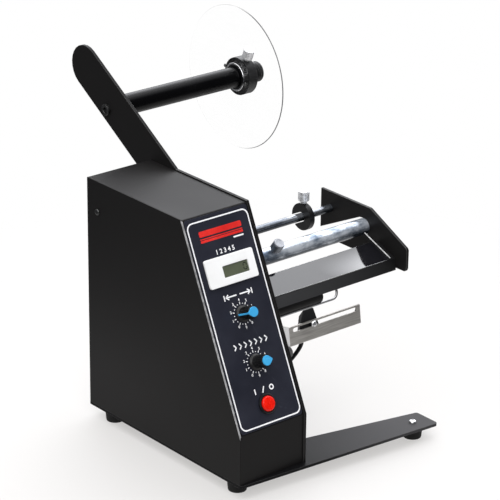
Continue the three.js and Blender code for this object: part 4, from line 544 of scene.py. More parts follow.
def lettered(bm, text, size, placing):
    """Plain figures, centred on the origin of the frame."""
    curve = bpy.data.curves.new("figures", "FONT")
    curve.body, curve.size = text, size
    curve.align_x, curve.align_y = "CENTER", "CENTER"
    curve.extrude, curve.offset = PRINT_DEPTH / 2, size * 0.018
    mesh = mesh_of(bpy.data.objects.new("figures", curve))
    take_in(bm, mesh, placing @ at(0, 0, PRINT_DEPTH / 2))


def wire(bm, points, radius):
    """A round wire along a path, with closed ends."""
    curve = bpy.data.curves.new("wire", "CURVE")
    curve.dimensions = "3D"
    curve.bevel_depth, curve.bevel_resolution, curve.use_fill_caps = radius, 5, True
    spline = curve.splines.new("POLY")
    spline.points.add(len(points) - 1)
    for point, place in zip(spline.points, points):
        point.co = (*place, 1)
    take_in(bm, mesh_of(bpy.data.objects.new("wire", curve)), Matrix())


# A Geometry Nodes row of bars or dots set round an axis: dial marks, knurls and grip ribs
def row_tree():
    tree = bpy.data.node_groups.new("row_round_an_axis", "GeometryNodeTree")
    tree.interface.new_socket("Row", in_out="OUTPUT", socket_type="NodeSocketGeometry")
    kinds = {
        "Count": "Int", "Radius": "Float", "First angle": "Float", "Step": "Float", "Long": "Float",
        "Wide": "Float", "Deep": "Float", "Round": "Bool", "Finish": "Material",
    }
    for title, kind in kinds.items():
        tree.interface.new_socket(title, in_out="INPUT", socket_type="NodeSocket" + kind)
    new, link = tree.nodes.new, tree.links.new
    given = new("NodeGroupInput").outputs

    def joined(x=None, y=None, z=None):
        node = new("ShaderNodeCombineXYZ")
        for value, socket in zip((x, y, z), node.inputs):
            if value is not None:
                link(value, socket)
        return node.outputs[0]

    index = new("GeometryNodeInputIndex").outputs[0]
    angle = reckon(tree, "ADD", given["First angle"], reckon(tree, "MULTIPLY", given["Step"], index))
    parts = (reckon(tree, operation, angle) for operation in ("COSINE", "SINE"))
    place = joined(*(reckon(tree, "MULTIPLY", given["Radius"], part) for part in parts))
    points = new("GeometryNodePoints")
    link(given["Count"], points.inputs["Count"])
    link(place, points.inputs["Position"])
    bar = new("GeometryNodeMeshCube")
    link(joined(given["Long"], given["Wide"], given["Deep"]), bar.inputs["Size"])
    dot = new("GeometryNodeMeshCylinder")
    put(dot, Vertices=12)
    link(reckon(tree, "MULTIPLY", given["Long"], 0.5), dot.inputs["Radius"])
    link(given["Deep"], dot.inputs["Depth"])
    either = new("GeometryNodeSwitch")
    either.input_type = "GEOMETRY"
    link(given["Round"], either.inputs["Switch"])
    link(bar.outputs["Mesh"], either.inputs["False"])
    link(dot.outputs["Mesh"], either.inputs["True"])
    spread = new("GeometryNodeInstanceOnPoints")
    link(points.outputs[0], spread.inputs["Points"])
    link(either.outputs[0], spread.inputs["Instance"])
    link(joined(z=angle), spread.inputs["Rotation"])
    real = new("GeometryNodeRealizeInstances")
    link(spread.outputs[0], real.inputs[0])
    painted = new("GeometryNodeSetMaterial")
    link(real.outputs[0], painted.inputs["Geometry"])
    link(given["Finish"], painted.inputs["Material"])
    link(painted.outputs[0], new("NodeGroupOutput").inputs[0])
    return tree


ROW = row_tree()


def row(bm, placing, material, **given):
    """One row of marks or ribs, with the tree's named inputs set before it is first evaluated."""
    obj = bpy.data.objects.new("row", bpy.data.meshes.new("row"))
    modifier = obj.modifiers.new("row", "NODES")
    modifier.node_group = ROW
    values = {title.replace("_", " ").capitalize(): value for title, value in given.items()}
    for item in ROW.interface.items_tree:
        if item.in_out == "INPUT" and item.name in values:
            modifier[item.identifier] = values[item.name]
        elif item.name == "Finish":
            modifier[item.identifier] = material
    take_in(bm, mesh_of(obj), placing)


# Making a finished piece: seams merged, faces outward, smooth by angle, area-weighted normals
def finished_mesh(name, mesh, finishes, sharp, modifiers=()):
    for material in finishes:
        mesh.materials.append(material)
    mesh.polygons.foreach_set("use_smooth", [True] * len(mesh.polygons))
    mesh.set_sharp_from_angle(angle=math.radians(sharp))
    obj = bpy.data.objects.new(name + "_raw", mesh)
    for add in modifiers:
        add(obj)
    normals = obj.modifiers.new("normals", "WEIGHTED_NORMAL")
    normals.keep_sharp = True
    done = mesh_of(obj)
    bpy.data.meshes.remove(mesh)
    done.name = name
    return done


def settle(name, mesh, body, stands_for=()):
    piece = bpy.data.objects.new(name, mesh)
    bpy.context.scene.collection.objects.link(piece)
    if body:
        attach(piece, body)
    if stands_for:
        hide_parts(*stands_for)
    return piece


def make(name, bm, body, finishes, stands_for=(), sharp=38, modifiers=()):
    """Turns a drawing in machine millimetres into a piece that rides on a body."""
    bmesh.ops.remove_doubles(bm, verts=bm.verts, dist=SEAM)
    bmesh.ops.recalc_face_normals(bm, faces=bm.faces)
    mesh = bpy.data.meshes.new(name)
    bm.to_mesh(mesh)
    bm.free()
    mesh = finished_mesh(name, mesh, finishes, sharp, modifiers)
    mesh.transform(MACHINE)
    return settle(name, mesh, body, stands_for)


def turned_piece(name, profile, placing, sides, body, finish, node, closed=False):
    """A piece in one finish, turned about +Z of its frame."""
    bm = bmesh.new()
    lathe(bm, profile, placing, sides, closed)
    make(name, bm, body, [finish], [node], 30)


def bevelled(width, segments=3, by_weight=False):
    def add(obj):
        modifier = obj.modifiers.new("edges", "BEVEL")
        modifier.width, modifier.segments = width, segments
        modifier.limit_method = "WEIGHT" if by_weight else "ANGLE"
        modifier.angle_limit = math.radians(32)
        modifier.harden_normals = True
        modifier.material = 1 if len(obj.data.materials) > 1 else -1
    return add


def dressed(node, name, body, finishes, ease=0.3, segments=3, weigh=None, sharp=38):
    """A merged copy of a CAD node with its edges rounded, in machine millimetres while it is worked on."""
    bm = bmesh.new()
    bm.from_mesh(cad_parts[node].data)
    bm.transform(MACHINE.inverted())
    bmesh.ops.remove_doubles(bm, verts=bm.verts, dist=SEAM)
    bmesh.ops.dissolve_limit(bm, angle_limit=math.radians(1), verts=bm.verts, edges=bm.edges)
    if weigh:
        layer = bm.edges.layers.float.new("bevel_weight_edge")
        for edge in bm.edges:
            edge[layer] = weigh(edge)
    mesh = bpy.data.meshes.new(name)
    bm.to_mesh(mesh)
    bm.free()
    modifiers = [bevelled(ease, segments, bool(weigh))] if ease else []
    mesh = finished_mesh(name, mesh, finishes, sharp, modifiers)
    mesh.transform(MACHINE)
    return settle(name, mesh, body, [node])


# Sheet-metal pieces
COVER_CORNERS = [(0, FRONT_HEIGHT), (SLANT_RUN, BOX_HEIGHT), (230, BOX_HEIGHT), (0, 0), (230, 0)]
NEAR = 0.05


def cover_fold(edge):
    """Full weight on the cover's outer folds, a little on its uprights and cut rims."""
    a, b = (v.co for v in edge.verts)
    if edge.calc_face_angle(0) < math.radians(25):
        return 0.0
    on_corner = any(abs(a.y - y) < NEAR and abs(a.z - z) < NEAR for y, z in COVER_CORNERS)
    across = abs(a.y - b.y) < NEAR and abs(a.z - b.z) < NEAR and abs(a.x - b.x) > 5
    left_rim = max(a.x, b.x) < NEAR and (a - b).length > 30 and max(a.z, b.z) > 1
    upright = max(a.y, b.y) < NEAR
    fold = left_rim or (across and on_corner and a.z > 1)
    return 1.0 if fold and not upright else 0.15


cover = dressed("cover_shell", "cover", "frame", [COAT, FOLD_HIGHLIGHT], 1.3, 4, cover_fold)
# Only the slant's left fold keeps the painted highlight; other bevel faces go back to the plain coat
for face in cover.data.polygons:
    place = MACHINE.inverted() @ face.center
    up_slant = (place.z - FRONT_HEIGHT) / (BOX_HEIGHT - FRONT_HEIGHT)
    left_of_panel = place.x < 3 and 0.05 < up_slant < 0.95 and abs(place.y - SLANT_RUN * up_slant) < 3
    if face.material_index == 1 and not left_of_panel:
        face.material_index = 0
SHEET = [COAT, RUBBED]
dressed("base_plate", "base", "frame", [BASE_COAT, RUBBED], 0.45)
dressed("side_plate", "side_plate_with_arm", "frame", SHEET, 0.4)
dressed("outer_plate", "outer_side_plate", "frame", SHEET, 0.4)
tray = dressed("tray_support", "tray_sheet", "frame", [TRAY_COAT, TRAY_EDGE_HIGHLIGHT], 0.6)
# A strip on the upstand's top just right of the bow takes the painted highlight too
for face in tray.data.polygons:
    if 0 < face.center.x - BOW_REACH[1] < 2 * MILLIMETRE and face.normal.z > 0.7:
        face.material_index = 1
dressed("peel_plate", "peel_sheet", "frame", [GLOSS, STEEL], 0.3)
dressed("guide_collar", "guide_ring", "guide", [HUB_BLACK], 0.5)
dressed("sensor_nut", "sensor_clamp_nut", "sensor", [STEEL], 0.25)
dressed("takeup_spindle", "takeup_bar", "takeup", [COAT], 0.0, sharp=28)
dressed("motor_bracket", "gear_bracket", "frame", [BRUSHED], 0.25)

# Feet and screws
FOOT_BOTTOM = -15
FEET = {"front_left": (13, 19.2), "rear_left": (13, 206.4), "rear_right": (62.9, 206.4), "arm": (215.0, -2.9)}


def dome_screw(bm, placing, radius, head, rise, reach):
    """A dome head with a cross recess in the second finish, about +Z from the seat up."""
    dome = [(head, 0), (head, rise * 0.25), (head * 0.93, rise * 0.55), (head * 0.75, rise * 0.82)]
    top = [(head * 0.45, rise * 0.97), (0, rise)]
    lathe(bm, [(0, -reach), (radius, -reach), (radius, 0), *dome, *top], placing, 32)
    for turn in (0, QUARTER):
        arm = rectangle(0, 0, head * 0.95, head * 0.2, head * 0.06, COARSE_STEP)
        frame_up = placing @ Matrix.Rotation(turn, 4, "Z") @ at(0, 0, rise * 0.9)
        stock(bm, arm, rise * 0.13, frame_up, (), head * 0.02, 1)


for place, (x, y) in FEET.items():
    foot = [(0, 0), (8.1, 0), (8.7, 0.25), (8.95, 0.9), (9.75, 9.6), (10, 10.2), (10, 11.5)]
    foot += [(9.7, 12), (2.4, 12), (0, 12)]
    standing = at(x, y, FOOT_BOTTOM)
    turned_piece("rubber_" + place, foot, standing, 72, "frame", RUBBER, "foot_" + place)
    bm = bmesh.new()
    dome_screw(bm, at(x, y, 0), radius=2, head=3.7, rise=2.3, reach=11)
    make("screw_" + place, bm, "frame", [STEEL, BOLT], ["foot_screw_" + place], 30)

OUTWARD_LEFT = Matrix.Rotation(math.pi, 4, "X")
bm = bmesh.new()
dome_screw(bm, along_x(213.8, 204.4) @ OUTWARD_LEFT, radius=1.5, head=3.2, rise=1.7, reach=6)
make("cover_fixing_screw", bm, "frame", [BOLT, BLACK], ["cover_screw"], 30)

# Control panel: overlay, printed marks, counter, knobs and the power button
DIAL_HOLE, SWITCH_HOLE = 4.9, 8.7
HOLES = [circle(MIDDLE_X, up, DIAL_HOLE) for up in DIAL_UPS.values()]
HOLES += [circle(MIDDLE_X, SWITCH_UP, SWITCH_HOLE)]
COUNTER_HOLE = rectangle(MIDDLE_X, COUNTER_UP, 49.2, 19.4)
MARGIN = 1.2
OVERLAY_SEAT = 0.3
bm = bmesh.new()
overlay = rectangle(MIDDLE_X, SLANT_LENGTH / 2, BOX_WIDTH - 2 * MARGIN, SLANT_LENGTH - 2 * MARGIN, 3)
stock(bm, overlay, PANEL_FACE - OVERLAY_SEAT, PANEL @ at(0, 0, OVERLAY_SEAT), [COUNTER_HOLE, *HOLES], 0.1)
make("overlay", bm, "frame", [NAVY], ["control_panel"])

PRINT = PANEL @ at(0, 0, PANEL_FACE - 0.02)
PRINT_EASE = 0.01
BORDER = (38.2, 101.5, 70.6, 195.4, 6)
BORDER_LINE = 1.3
bm = bmesh.new()
outer, inner = (
    rectangle(BORDER[0], BORDER[1], BORDER[2] + grow, BORDER[3] + grow, BORDER[4] + grow / 2)
    for grow in (BORDER_LINE, -BORDER_LINE)
)
stock(bm, outer, PRINT_DEPTH, PRINT, [inner], PRINT_EASE)
MARK_X = 38.2
MARK_STEP = math.radians(36)
MARK_START = math.radians(19)
FIGURE_REACH = 13.2
FIGURE_SIZE, NUMBER_SIZE = 3.6, 6.2
for up in DIAL_UPS.values():
    scale = PRINT @ at(MARK_X, up, PRINT_DEPTH / 2)
    same = {"count": 10, "step": MARK_STEP, "deep": PRINT_DEPTH}
    between = MARK_START + MARK_STEP / 2
    row(bm, scale, INK, radius=10.1, first_angle=MARK_START, long=2.2, wide=0.75, round=False, **same)
    row(bm, scale, INK, radius=9.6, first_angle=between, long=0.95, wide=1, round=True, **same)
    for figure in range(10):
        angle = MARK_START + MARK_STEP * (6 - figure)
        u, v = MARK_X + FIGURE_REACH * math.cos(angle), up + FIGURE_REACH * math.sin(angle)
        lettered(bm, str(figure), FIGURE_SIZE, PRINT @ at(u, v, 0))
lettered(bm, "1 2 3 4 5", NUMBER_SIZE, PRINT @ at(38.0, 167.6, 0))


def bar(bm, u, v, width, height, turn=0.0):
    shape = rectangle(0, 0, width, height, min(width, height) * 0.2, COARSE_STEP)
    stock(bm, shape, PRINT_DEPTH, PRINT @ at(u, v, 0) @ Matrix.Rotation(turn, 4, "Z"), (), PRINT_EASE)


# Plain signs over the dials and the button: a span for length, chevrons for speed, I and O for power
SPAN_X, SPAN_UP = 38.9, 125.2
for side in (-1, 1):
    bar(bm, SPAN_X + side * 16.2, SPAN_UP, 1.2, 5.4)
    bar(bm, SPAN_X + side * 8, SPAN_UP, 12.4, 1.3)
    for tilt in (-1, 1):
        bar(bm, SPAN_X + side * 12.9, SPAN_UP + tilt * 1.1, 4.2, 1.2, side * tilt * -math.radians(35))
CHEVRON_X, CHEVRON_UP, CHEVRON_PITCH = 20.0, 79.2, 6.1
for k in range(7):
    for tilt in (-1, 1):
        bar(bm, CHEVRON_X + CHEVRON_PITCH * k, CHEVRON_UP + tilt * 1.25, 3.9, 1.25, -tilt * math.radians(48))
POWER_UP = 34.8
bar(bm, 28.5, POWER_UP, 1.4, 5.2)
bar(bm, 38.2, POWER_UP, 1.3, 6.4, -math.radians(25))
stock(bm, circle(48, POWER_UP, 2.7), PRINT_DEPTH, PRINT, [circle(48, POWER_UP, 1.5)], PRINT_EASE)
make("printed_marks", bm, "frame", [INK], (), 30)

STRIPE_X, STRIPE_WIDTH = 38.6, 49.5
bm = bmesh.new()
for up, tall in ((187.4, 5.4), (182.6, 1.0), (180.4, 2.2)):
    bar(bm, STRIPE_X, up, STRIPE_WIDTH, tall)
make("printed_stripes", bm, "frame", [RED_INK], (), 30)
bm = bmesh.new()
bar(bm, 57, 176.9, 12, 1.4)
make("printed_dash", bm, "frame", [INK], (), 30)

BEZEL = (57.1, 27.3, 2.2)
BEZEL_SEAT = 1.4
ON_SEAT = PANEL @ at(0, 0, BEZEL_SEAT)
bm = bmesh.new()
stock(bm, rectangle(MIDDLE_X, COUNTER_UP, *BEZEL), 2.2, ON_SEAT, [rectangle(*WINDOW, 0.4)], 0.45)
make("counter_frame", bm, "frame", [WHITE], ["counter_bezel"])
PANE_PLAY = 0.3
PANE_DEPTH = 1.0
bm = bmesh.new()
pane = rectangle(WINDOW[0], WINDOW[1], WINDOW[2] - 2 * PANE_PLAY, WINDOW[3] - 2 * PANE_PLAY)
stock(bm, pane, PANE_DEPTH, ON_SEAT, (), 0.1)
make("display_pane", bm, "frame", [GLASS], ["counter_display"])
bm = bmesh.new()
DIGIT_CENTRE = (54.2, 148.6)
segments = [(0, v, 2.6, 0.8) for v in (3, -3)]
segments += [(u, v, 0.8, 2.2) for v in (1.6, -1.6) for u in (-1.75, 1.75)]
for u, v, wide, tall in segments:
    segment = rectangle(DIGIT_CENTRE[0] + u, DIGIT_CENTRE[1] + v, wide, tall, 0.2, COARSE_STEP)
    stock(bm, segment, 0.06, ON_SEAT @ at(0, 0, PANE_DEPTH - 0.02), (), PRINT_EASE)
make("display_figure", bm, "frame", [DIGIT])

KNOB_SEAT = 1.7
KNOB_TOP = 18.0
RIBS = 24
for dial, up in DIAL_UPS.items():
    turn = PANEL @ at(MIDDLE_X, up, 0) @ Matrix.Rotation(DIAL_TURNS[dial], 4, "Z")
    bm = bmesh.new()
    skirt = [(0, -6), (3, -6), (3, KNOB_SEAT), (7.6, KNOB_SEAT), (7.85, 1.95), (7.85, 2.7)]
    waist = [(7.4, 3.3), (6.5, 3.9), (6.1, 4.3)]
    crown = [(5.35, 16.8), (5.2, 17.5), (4.9, 17.9), (0, KNOB_TOP)]
    lathe(bm, skirt + waist + crown, turn, 72)
    ribs = {"count": RIBS, "radius": 5.75, "first_angle": 0.13, "step": 2 * math.pi / RIBS}
    row(bm, turn @ at(0, 0, 10.6), BLACK, long=0.9, wide=0.7, deep=12.4, round=False, **ribs)
    make("grip_" + dial, bm, "dial_" + dial, [BLACK], ["knob_" + dial], 32)
    bm = bmesh.new()
    cap = arc_points(Vector((0, 0)), 4.75, math.radians(42), math.radians(276))
    stock(bm, cap + [Vector((6.3, -0.55)), Vector((6.3, 0.55))], 1.5, turn @ at(0, 0, KNOB_TOP), (), 0.35)
    stripe = [(5.1, 17.9), (6.45, 17.9), (6.45, 16.5), (7.1, 4.3), (6.6, 4.1), (5.1, 4.1)]
    on_side = turn @ at(0, 0.85, 0) @ Matrix.Rotation(QUARTER, 4, "X")
    stock(bm, [Vector(p) for p in stripe], 1.7, on_side, (), 0.12)
    make("pointer_" + dial, bm, "dial_" + dial, [SKY], ["knob_cap_" + dial], 32)

SWITCH = PANEL @ at(MIDDLE_X, SWITCH_UP, 0)
bm = bmesh.new()
barrel = [(0, -20), (8.2, -20), (8.4, -19.7), (8.4, 1.4)]
rim = [(9.4, 1.4), (9.6, 1.6), (9.6, 2.4), (9.3, 3.0), (8.6, 3.4)]
well = [(7.7, 3.4), (7.5, 3.1), (7.5, -6.2), (0, -6.2)]
lathe(bm, barrel + rim + well, SWITCH, 72)
make("switch_bezel", bm, "frame", [BLACK], ["switch_body"], 32)
lens = [(0, -3.6), (7.2, -3.6), (7.2, 3.4), (7.15, 4.0), (6.9, 4.7), (6.4, 5.2)]
lens += [(5.7, 5.5), (4, 5.7), (2, 5.78), (0, 5.8)]
turned_piece("button_lens", lens, SWITCH, 72, "button", LENS, "power_button")

# Roll spindle and its bolt and cap
SPINDLE_END = 263.9
SPINDLE_BORE = 8.6
ON_SPINDLE = along_x(*SPINDLE)
left_end = [(4.3, SIDE_X), (SPINDLE_RADIUS - 0.3, SIDE_X), (SPINDLE_RADIUS, SIDE_X + 0.3)]
right_end = [(SPINDLE_RADIUS, SPINDLE_END - 0.3), (SPINDLE_RADIUS - 0.3, SPINDLE_END)]
bore = [(SPINDLE_BORE, SPINDLE_END), (SPINDLE_BORE, 100.9), (4.3, 100.9)]
tube = left_end + right_end + bore
turned_piece("roll_spindle", tube, ON_SPINDLE, 96, "frame", SATIN, "spindle_tube", True)
head = BOX_WIDTH - 3
socket = [(0, head + 2.2), (2.9, head + 2.2), (2.9, head + 0.25), (3.1, head)]
bolt = [(5.2, head), (5.65, head + 0.3), (5.8, head + 0.8), (5.8, BOX_WIDTH), (4, BOX_WIDTH)]
thread = [(4, SIDE_X + 15.6), (3.6, SIDE_X + 16), (0, SIDE_X + 16)]
turned_piece(
    "arm_bolt", socket + bolt + thread, ON_SPINDLE, 48, "frame", BOLT, "spindle_bolt",
)
plug = [(0, 249.9), (8.0, 249.9), (8.3, 250.3), (8.3, SPINDLE_END), (10.2, SPINDLE_END), (10.6, 264.2)]
groove = [(10.6, 265.2), (10.0, 265.6), (10.0, 266.1), (10.6, 266.5)]
cap = [(10.6, 267.7), (10.2, 268.4), (9.4, 268.9), (6.4, 268.9), (6.0, 268.4), (0, 268.4)]
turned_piece(
    "spindle_cap", plug + groove + cap, ON_SPINDLE, 72, "frame", BLACK, "spindle_end_cap",
)

# Roll hub: bright bore ring, clear disc with a painted shade on its ground edge, collar and two small screws
DISC_X = 238.5
DISC_RADIUS = 74.8
COLLAR_X = 241.5
DISC_SCREW_REACH = 17.3
ring = [(12.95, 238.0), (13.2, 237.7), (14.5, 237.7), (14.75, 238.0), (14.75, COLLAR_X), (12.95, COLLAR_X)]
turned_piece("disc_bore_ring", ring, ON_SPINDLE, 96, "hub", STEEL, "hub_ring", True)
bm = bmesh.new()
near_face = [(14.8, DISC_X), (DISC_RADIUS - 0.7, DISC_X), (DISC_RADIUS, DISC_X + 0.8)]
far_face = [(DISC_RADIUS, COLLAR_X - 0.2), (DISC_RADIUS - 0.2, COLLAR_X), (14.8, COLLAR_X)]
lathe(bm, near_face + far_face, ON_SPINDLE, 192, True)
# The chamfer on the disc's near rim takes the painted shade
for face in bm.faces:
    radii = [math.hypot(v.co.y - SPINDLE[0], v.co.z - SPINDLE[1]) for v in face.verts]
    depths = [v.co.x for v in face.verts]
    if min(radii) > DISC_RADIUS - 0.8 and min(depths) < DISC_X + 0.1:
        face.material_index = 1
make("clear_disc", bm, "hub", [ACRYLIC, EDGE], ["roll_disc"], 30)
nose = [(10.9, 238.2), (11.1, 238.1), (12.7, 238.1), (12.9, 238.3), (12.9, COLLAR_X), (19.6, COLLAR_X)]
collar = [(19.6, 252.2), (19.1, 252.8), (18.4, 253.0), (11.4, 253.0), (10.9, 252.7)]
turned_piece(
    "hub_clamp_collar", nose + collar, ON_SPINDLE, 96, "hub", HUB_BLACK, "hub_collar", True,
)
for name, degrees in (("rear", 29), ("front", 191)):
    angle = math.radians(degrees)
    y = SPINDLE[0] + DISC_SCREW_REACH * math.cos(angle)
    z = SPINDLE[1] + DISC_SCREW_REACH * math.sin(angle)
    bm = bmesh.new()
    dome_screw(bm, along_x(y, z, DISC_X) @ OUTWARD_LEFT, radius=1.1, head=1.9, rise=1.4, reach=8.5)
    make("hub_screw_" + name, bm, "hub", [BOLT, STEEL], ["disc_screw_" + name], 30)


KNURLS = 20


def thumb(name, node, body, placing, head_from, side=NICKEL, face_end=NICKEL):
    """A knurled thumb screw with its tip at z = 0 of the frame; its end face may be brighter."""
    bm = bmesh.new()
    shank = [(0, 0), (1.7, 0), (2, 0.4), (2, head_from - 2.2)]
    collar = [(2.8, head_from - 2.2), (3, head_from - 2.0), (3, head_from)]
    head = [(4.5, 0), (5.0, 0.6), (5.15, 9.8), (4.8, 10.4), (4.2, 10.5), (3.9, 10.2), (0, 10.1)]
    lathe(bm, shank + collar + [(radius, head_from + height) for radius, height in head], placing, 48)
    knurl = {"count": KNURLS, "radius": 5.1, "first_angle": 0, "step": 2 * math.pi / KNURLS}
    row(bm, placing @ at(0, 0, head_from + 5.3), side, long=0.9, wide=0.85, deep=9.0, round=False, **knurl)
    end = placing @ Vector((0, 0, head_from + 10.3))
    outward = placing.col[2].to_3d()
    for face in bm.faces:
        away = face.calc_center_median() - end
        face.material_index = int(away.length < 5.0 and away.dot(outward) > -0.35)
    make(name, bm, body, [side, face_end], [node], 32)


ON_HUB = radial(247.25, SPINDLE, math.radians(112), SPINDLE_RADIUS + 0.3)
ON_GUIDE = radial(196.5, ROD, QUARTER, ROD_RADIUS + 0.3)
ON_TUBE = radial(113.0, TUBE, math.radians(128), 0)
thumb("hub_knurled_screw", "hub_thumb_screw", "hub_screw", ON_HUB, 11.2)
thumb("guide_knurled_screw", "guide_thumb_screw", "guide_screw", ON_GUIDE, 12.0)
thumb("tube_knurled_screw", "tube_thumb_screw", "tube_screw", ON_TUBE, 10.5, DARK_NICKEL, TURNED)

# Guide rod and press tube
rod = [(0, SIDE_X), (ROD_RADIUS - 0.2, SIDE_X), (ROD_RADIUS, SIDE_X + 0.2)]
rod += [(ROD_RADIUS, OUTER_X - 0.2), (ROD_RADIUS - 0.2, OUTER_X), (0, OUTER_X)]
turned_piece("guide_bar", rod, along_x(*ROD), 64, "frame", ROD_STEEL, "guide_rod")
TUBE_END = OUTER_X + 3.6
TUBE_BORE = 6.6
pipe = [(TUBE_BORE, SIDE_X), (TUBE_RADIUS - 0.2, SIDE_X), (TUBE_RADIUS, SIDE_X + 0.2)]
pipe += [(TUBE_RADIUS, TUBE_END - 0.35), (TUBE_RADIUS - 0.25, TUBE_END)]
pipe += [(TUBE_BORE + 0.25, TUBE_END), (TUBE_BORE, TUBE_END - 0.3)]
turned_piece("plated_press_tube", pipe, along_x(*TUBE), 96, "frame", PLATED, "press_tube", True)

# Take-up bush and wire clip
bush = [(4.1, 67.9), (9.8, 67.9), (10, 68.2), (10, SIDE_X)]
bush += [(13.3, SIDE_X), (13.5, 79.2), (13.5, 80.9), (13.1, 81.3), (4.4, 81.3), (4.1, 81.0)]
turned_piece("bearing_bush", bush, along_x(*TAKEUP), 72, "frame", BRONZE, "takeup_bush", True)
CLIP_ANGLE = math.radians(240)
BAR_RADIUS, CLIP_WIRE, CLIP_GROOVE, CLEARANCE = 7.5, 1.35, 0.9, 0.3
CLIP_OFFSET = BAR_RADIUS + CLIP_WIRE - CLIP_GROOVE + CLEARANCE
CLIP_TURN = 241.7


def clip_point(x, across):
    return (x, TAKEUP[0] + across * math.cos(CLIP_ANGLE), TAKEUP[1] + across * math.sin(CLIP_ANGLE))


CLIP_TIP, CLIP_MIDDLE = 86, 160
BOW_STEPS = 24
bow = [k * math.pi / BOW_STEPS for k in range(BOW_STEPS + 1)]
path = [clip_point(CLIP_TIP, CLIP_OFFSET), clip_point(CLIP_MIDDLE, CLIP_OFFSET)]
path += [clip_point(CLIP_TURN + CLIP_OFFSET * math.sin(a), CLIP_OFFSET * math.cos(a)) for a in bow]
path += [clip_point(CLIP_MIDDLE, -CLIP_OFFSET), clip_point(CLIP_TIP, -CLIP_OFFSET)]
bm = bmesh.new()
wire(bm, path, CLIP_WIRE - 0.02)
make("liner_clip_wire", bm, "clip", [WIRE_STEEL], ["paper_clip"], 50)

# Sensor: slotted bracket with a painted highlight on its bend, a housing that tapers back to its clamp nut,
# and the lead
BRACKET = at(SIDE_X, 23.4, 109.4) @ Matrix.Rotation(-math.radians(8), 4, "X")
BRACKET_LENGTH, BRACKET_HEIGHT, BRACKET_SHEET = 88.6, 18.6, 1.6
SLOT_UP, SLOT_LENGTH, SLOT_WIDTH = 14.8, 78.6, 4
BEND_MIDDLE, BEND_LENGTH = 23.2, 45.2
bm = bmesh.new()
plate = rectangle(BRACKET_LENGTH / 2, BRACKET_HEIGHT / 2, BRACKET_LENGTH, BRACKET_HEIGHT, 0.5)
slot_hole = rectangle(BRACKET_LENGTH / 2, SLOT_UP, SLOT_LENGTH, SLOT_WIDTH, 1.85)
upright = BRACKET @ at(0, BRACKET_SHEET, 0) @ Matrix.Rotation(QUARTER, 4, "X")
stock(bm, plate, BRACKET_SHEET, upright, [slot_hole], 0.2)
bend = rectangle(BRACKET_SHEET / 2, BEND_MIDDLE, BRACKET_SHEET, BEND_LENGTH, 0.7)
stock(bm, bend, BRACKET_HEIGHT - 0.04, BRACKET @ at(0, 0, 0.02), (), 0.25)
bm.normal_update()
# The bend's left face takes the painted highlight
for face in bm.faces:
    if face.normal.x < -0.5 and face.calc_center_median().x < SIDE_X + 1:
        face.material_index = 1
make("slotted_bracket", bm, "frame", [BRUSHED, BEND_HIGHLIGHT], ["sensor_bracket"])

# The housing's corners in the bracket's frame: its front face, the outline behind that, its narrower back
HOUSING = [
    (15.4, 2.0, 2.8), (38.2, 2.0, 2.8), (38.2, 2.0, 12.8), (33.0, 2.0, 29.6), (20.6, 2.0, 29.6),
    (15.4, 2.0, 12.8), (15.6, 3.4, 2.8), (38.2, 3.4, 2.8), (38.2, 3.4, 12.8), (33.0, 3.4, 29.4),
    (20.8, 3.4, 29.4), (15.6, 3.4, 12.6), (18.0, 11.4, 2.8), (18.6, 11.4, 5.0), (38.2, 15.8, 2.8),
    (38.2, 15.8, 12.4), (34.4, 15.8, 20.4), (26.0, 15.8, 20.4), (25.8, 15.8, 2.8),
]
bm = bmesh.new()
for place in HOUSING:
    bm.verts.new(BRACKET @ Vector(place))
bmesh.ops.convex_hull(bm, input=bm.verts)
bmesh.ops.dissolve_limit(bm, angle_limit=math.radians(1), verts=bm.verts, edges=bm.edges)
make("sensor_housing", bm, "sensor", [HUB_BLACK], ["sensor_body"], 38, [bevelled(0.7)])

LEAD_ROUTE = [
    (100.0, 32.6, 110.6), (100.0, 32.1, 108.5), (100.0, 31.7, 106.3), (100.0, 31.8, 104.2),
    (100.0, 32.6, 102.1), (100.1, 33.6, 100.1), (100.1, 34.7, 98.2), (100.0, 35.8, 96.3),
    (99.6, 36.8, 94.4), (99.1, 37.8, 92.5), (98.4, 38.7, 90.7), (97.5, 39.6, 88.8), (96.6, 40.5, 87.0),
    (95.7, 41.4, 85.3), (94.6, 42.2, 83.5), (93.6, 43.1, 81.8), (92.5, 44.0, 80.1), (91.4, 44.8, 78.4),
    (90.1, 45.6, 76.8), (88.3, 46.1, 75.8), (86.1, 46.1, 75.7), (83.9, 46.0, 76.0), (81.7, 46.0, 76.0),
    (79.5, 46.0, 76.0), (77.3, 46.0, 76.0), (75.1, 46.0, 76.0), (72.9, 46.0, 76.0),
]
LEAD_RADIUS = 2.0
bm = bmesh.new()
wire(bm, LEAD_ROUTE, LEAD_RADIUS)
lead = make("sensor_cable", bm, None, [LEAD], ["sensor_lead"], 50)
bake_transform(lead)

# Nodes that keep their CAD shape and take a procedural finish
KEPT = {
    "counter_body": BLACK, "pot_length": CAST, "pot_speed": CAST, "flange_screw_rear": STEEL,
    "flange_screw_front": STEEL, "sensor_screw": STEEL, "lead_grommet": RUBBER, "lead_clip": GREY,
    "driven_gear": NYLON, "pinion": STEEL, "gearbox": CAST, "motor": STEEL,
    "circuit_board": BOARD, "power_inlet": BLACK,
}
for node, material in KEPT.items():
    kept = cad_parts[node]
    for held in kept.material_slots:
        held.material = material

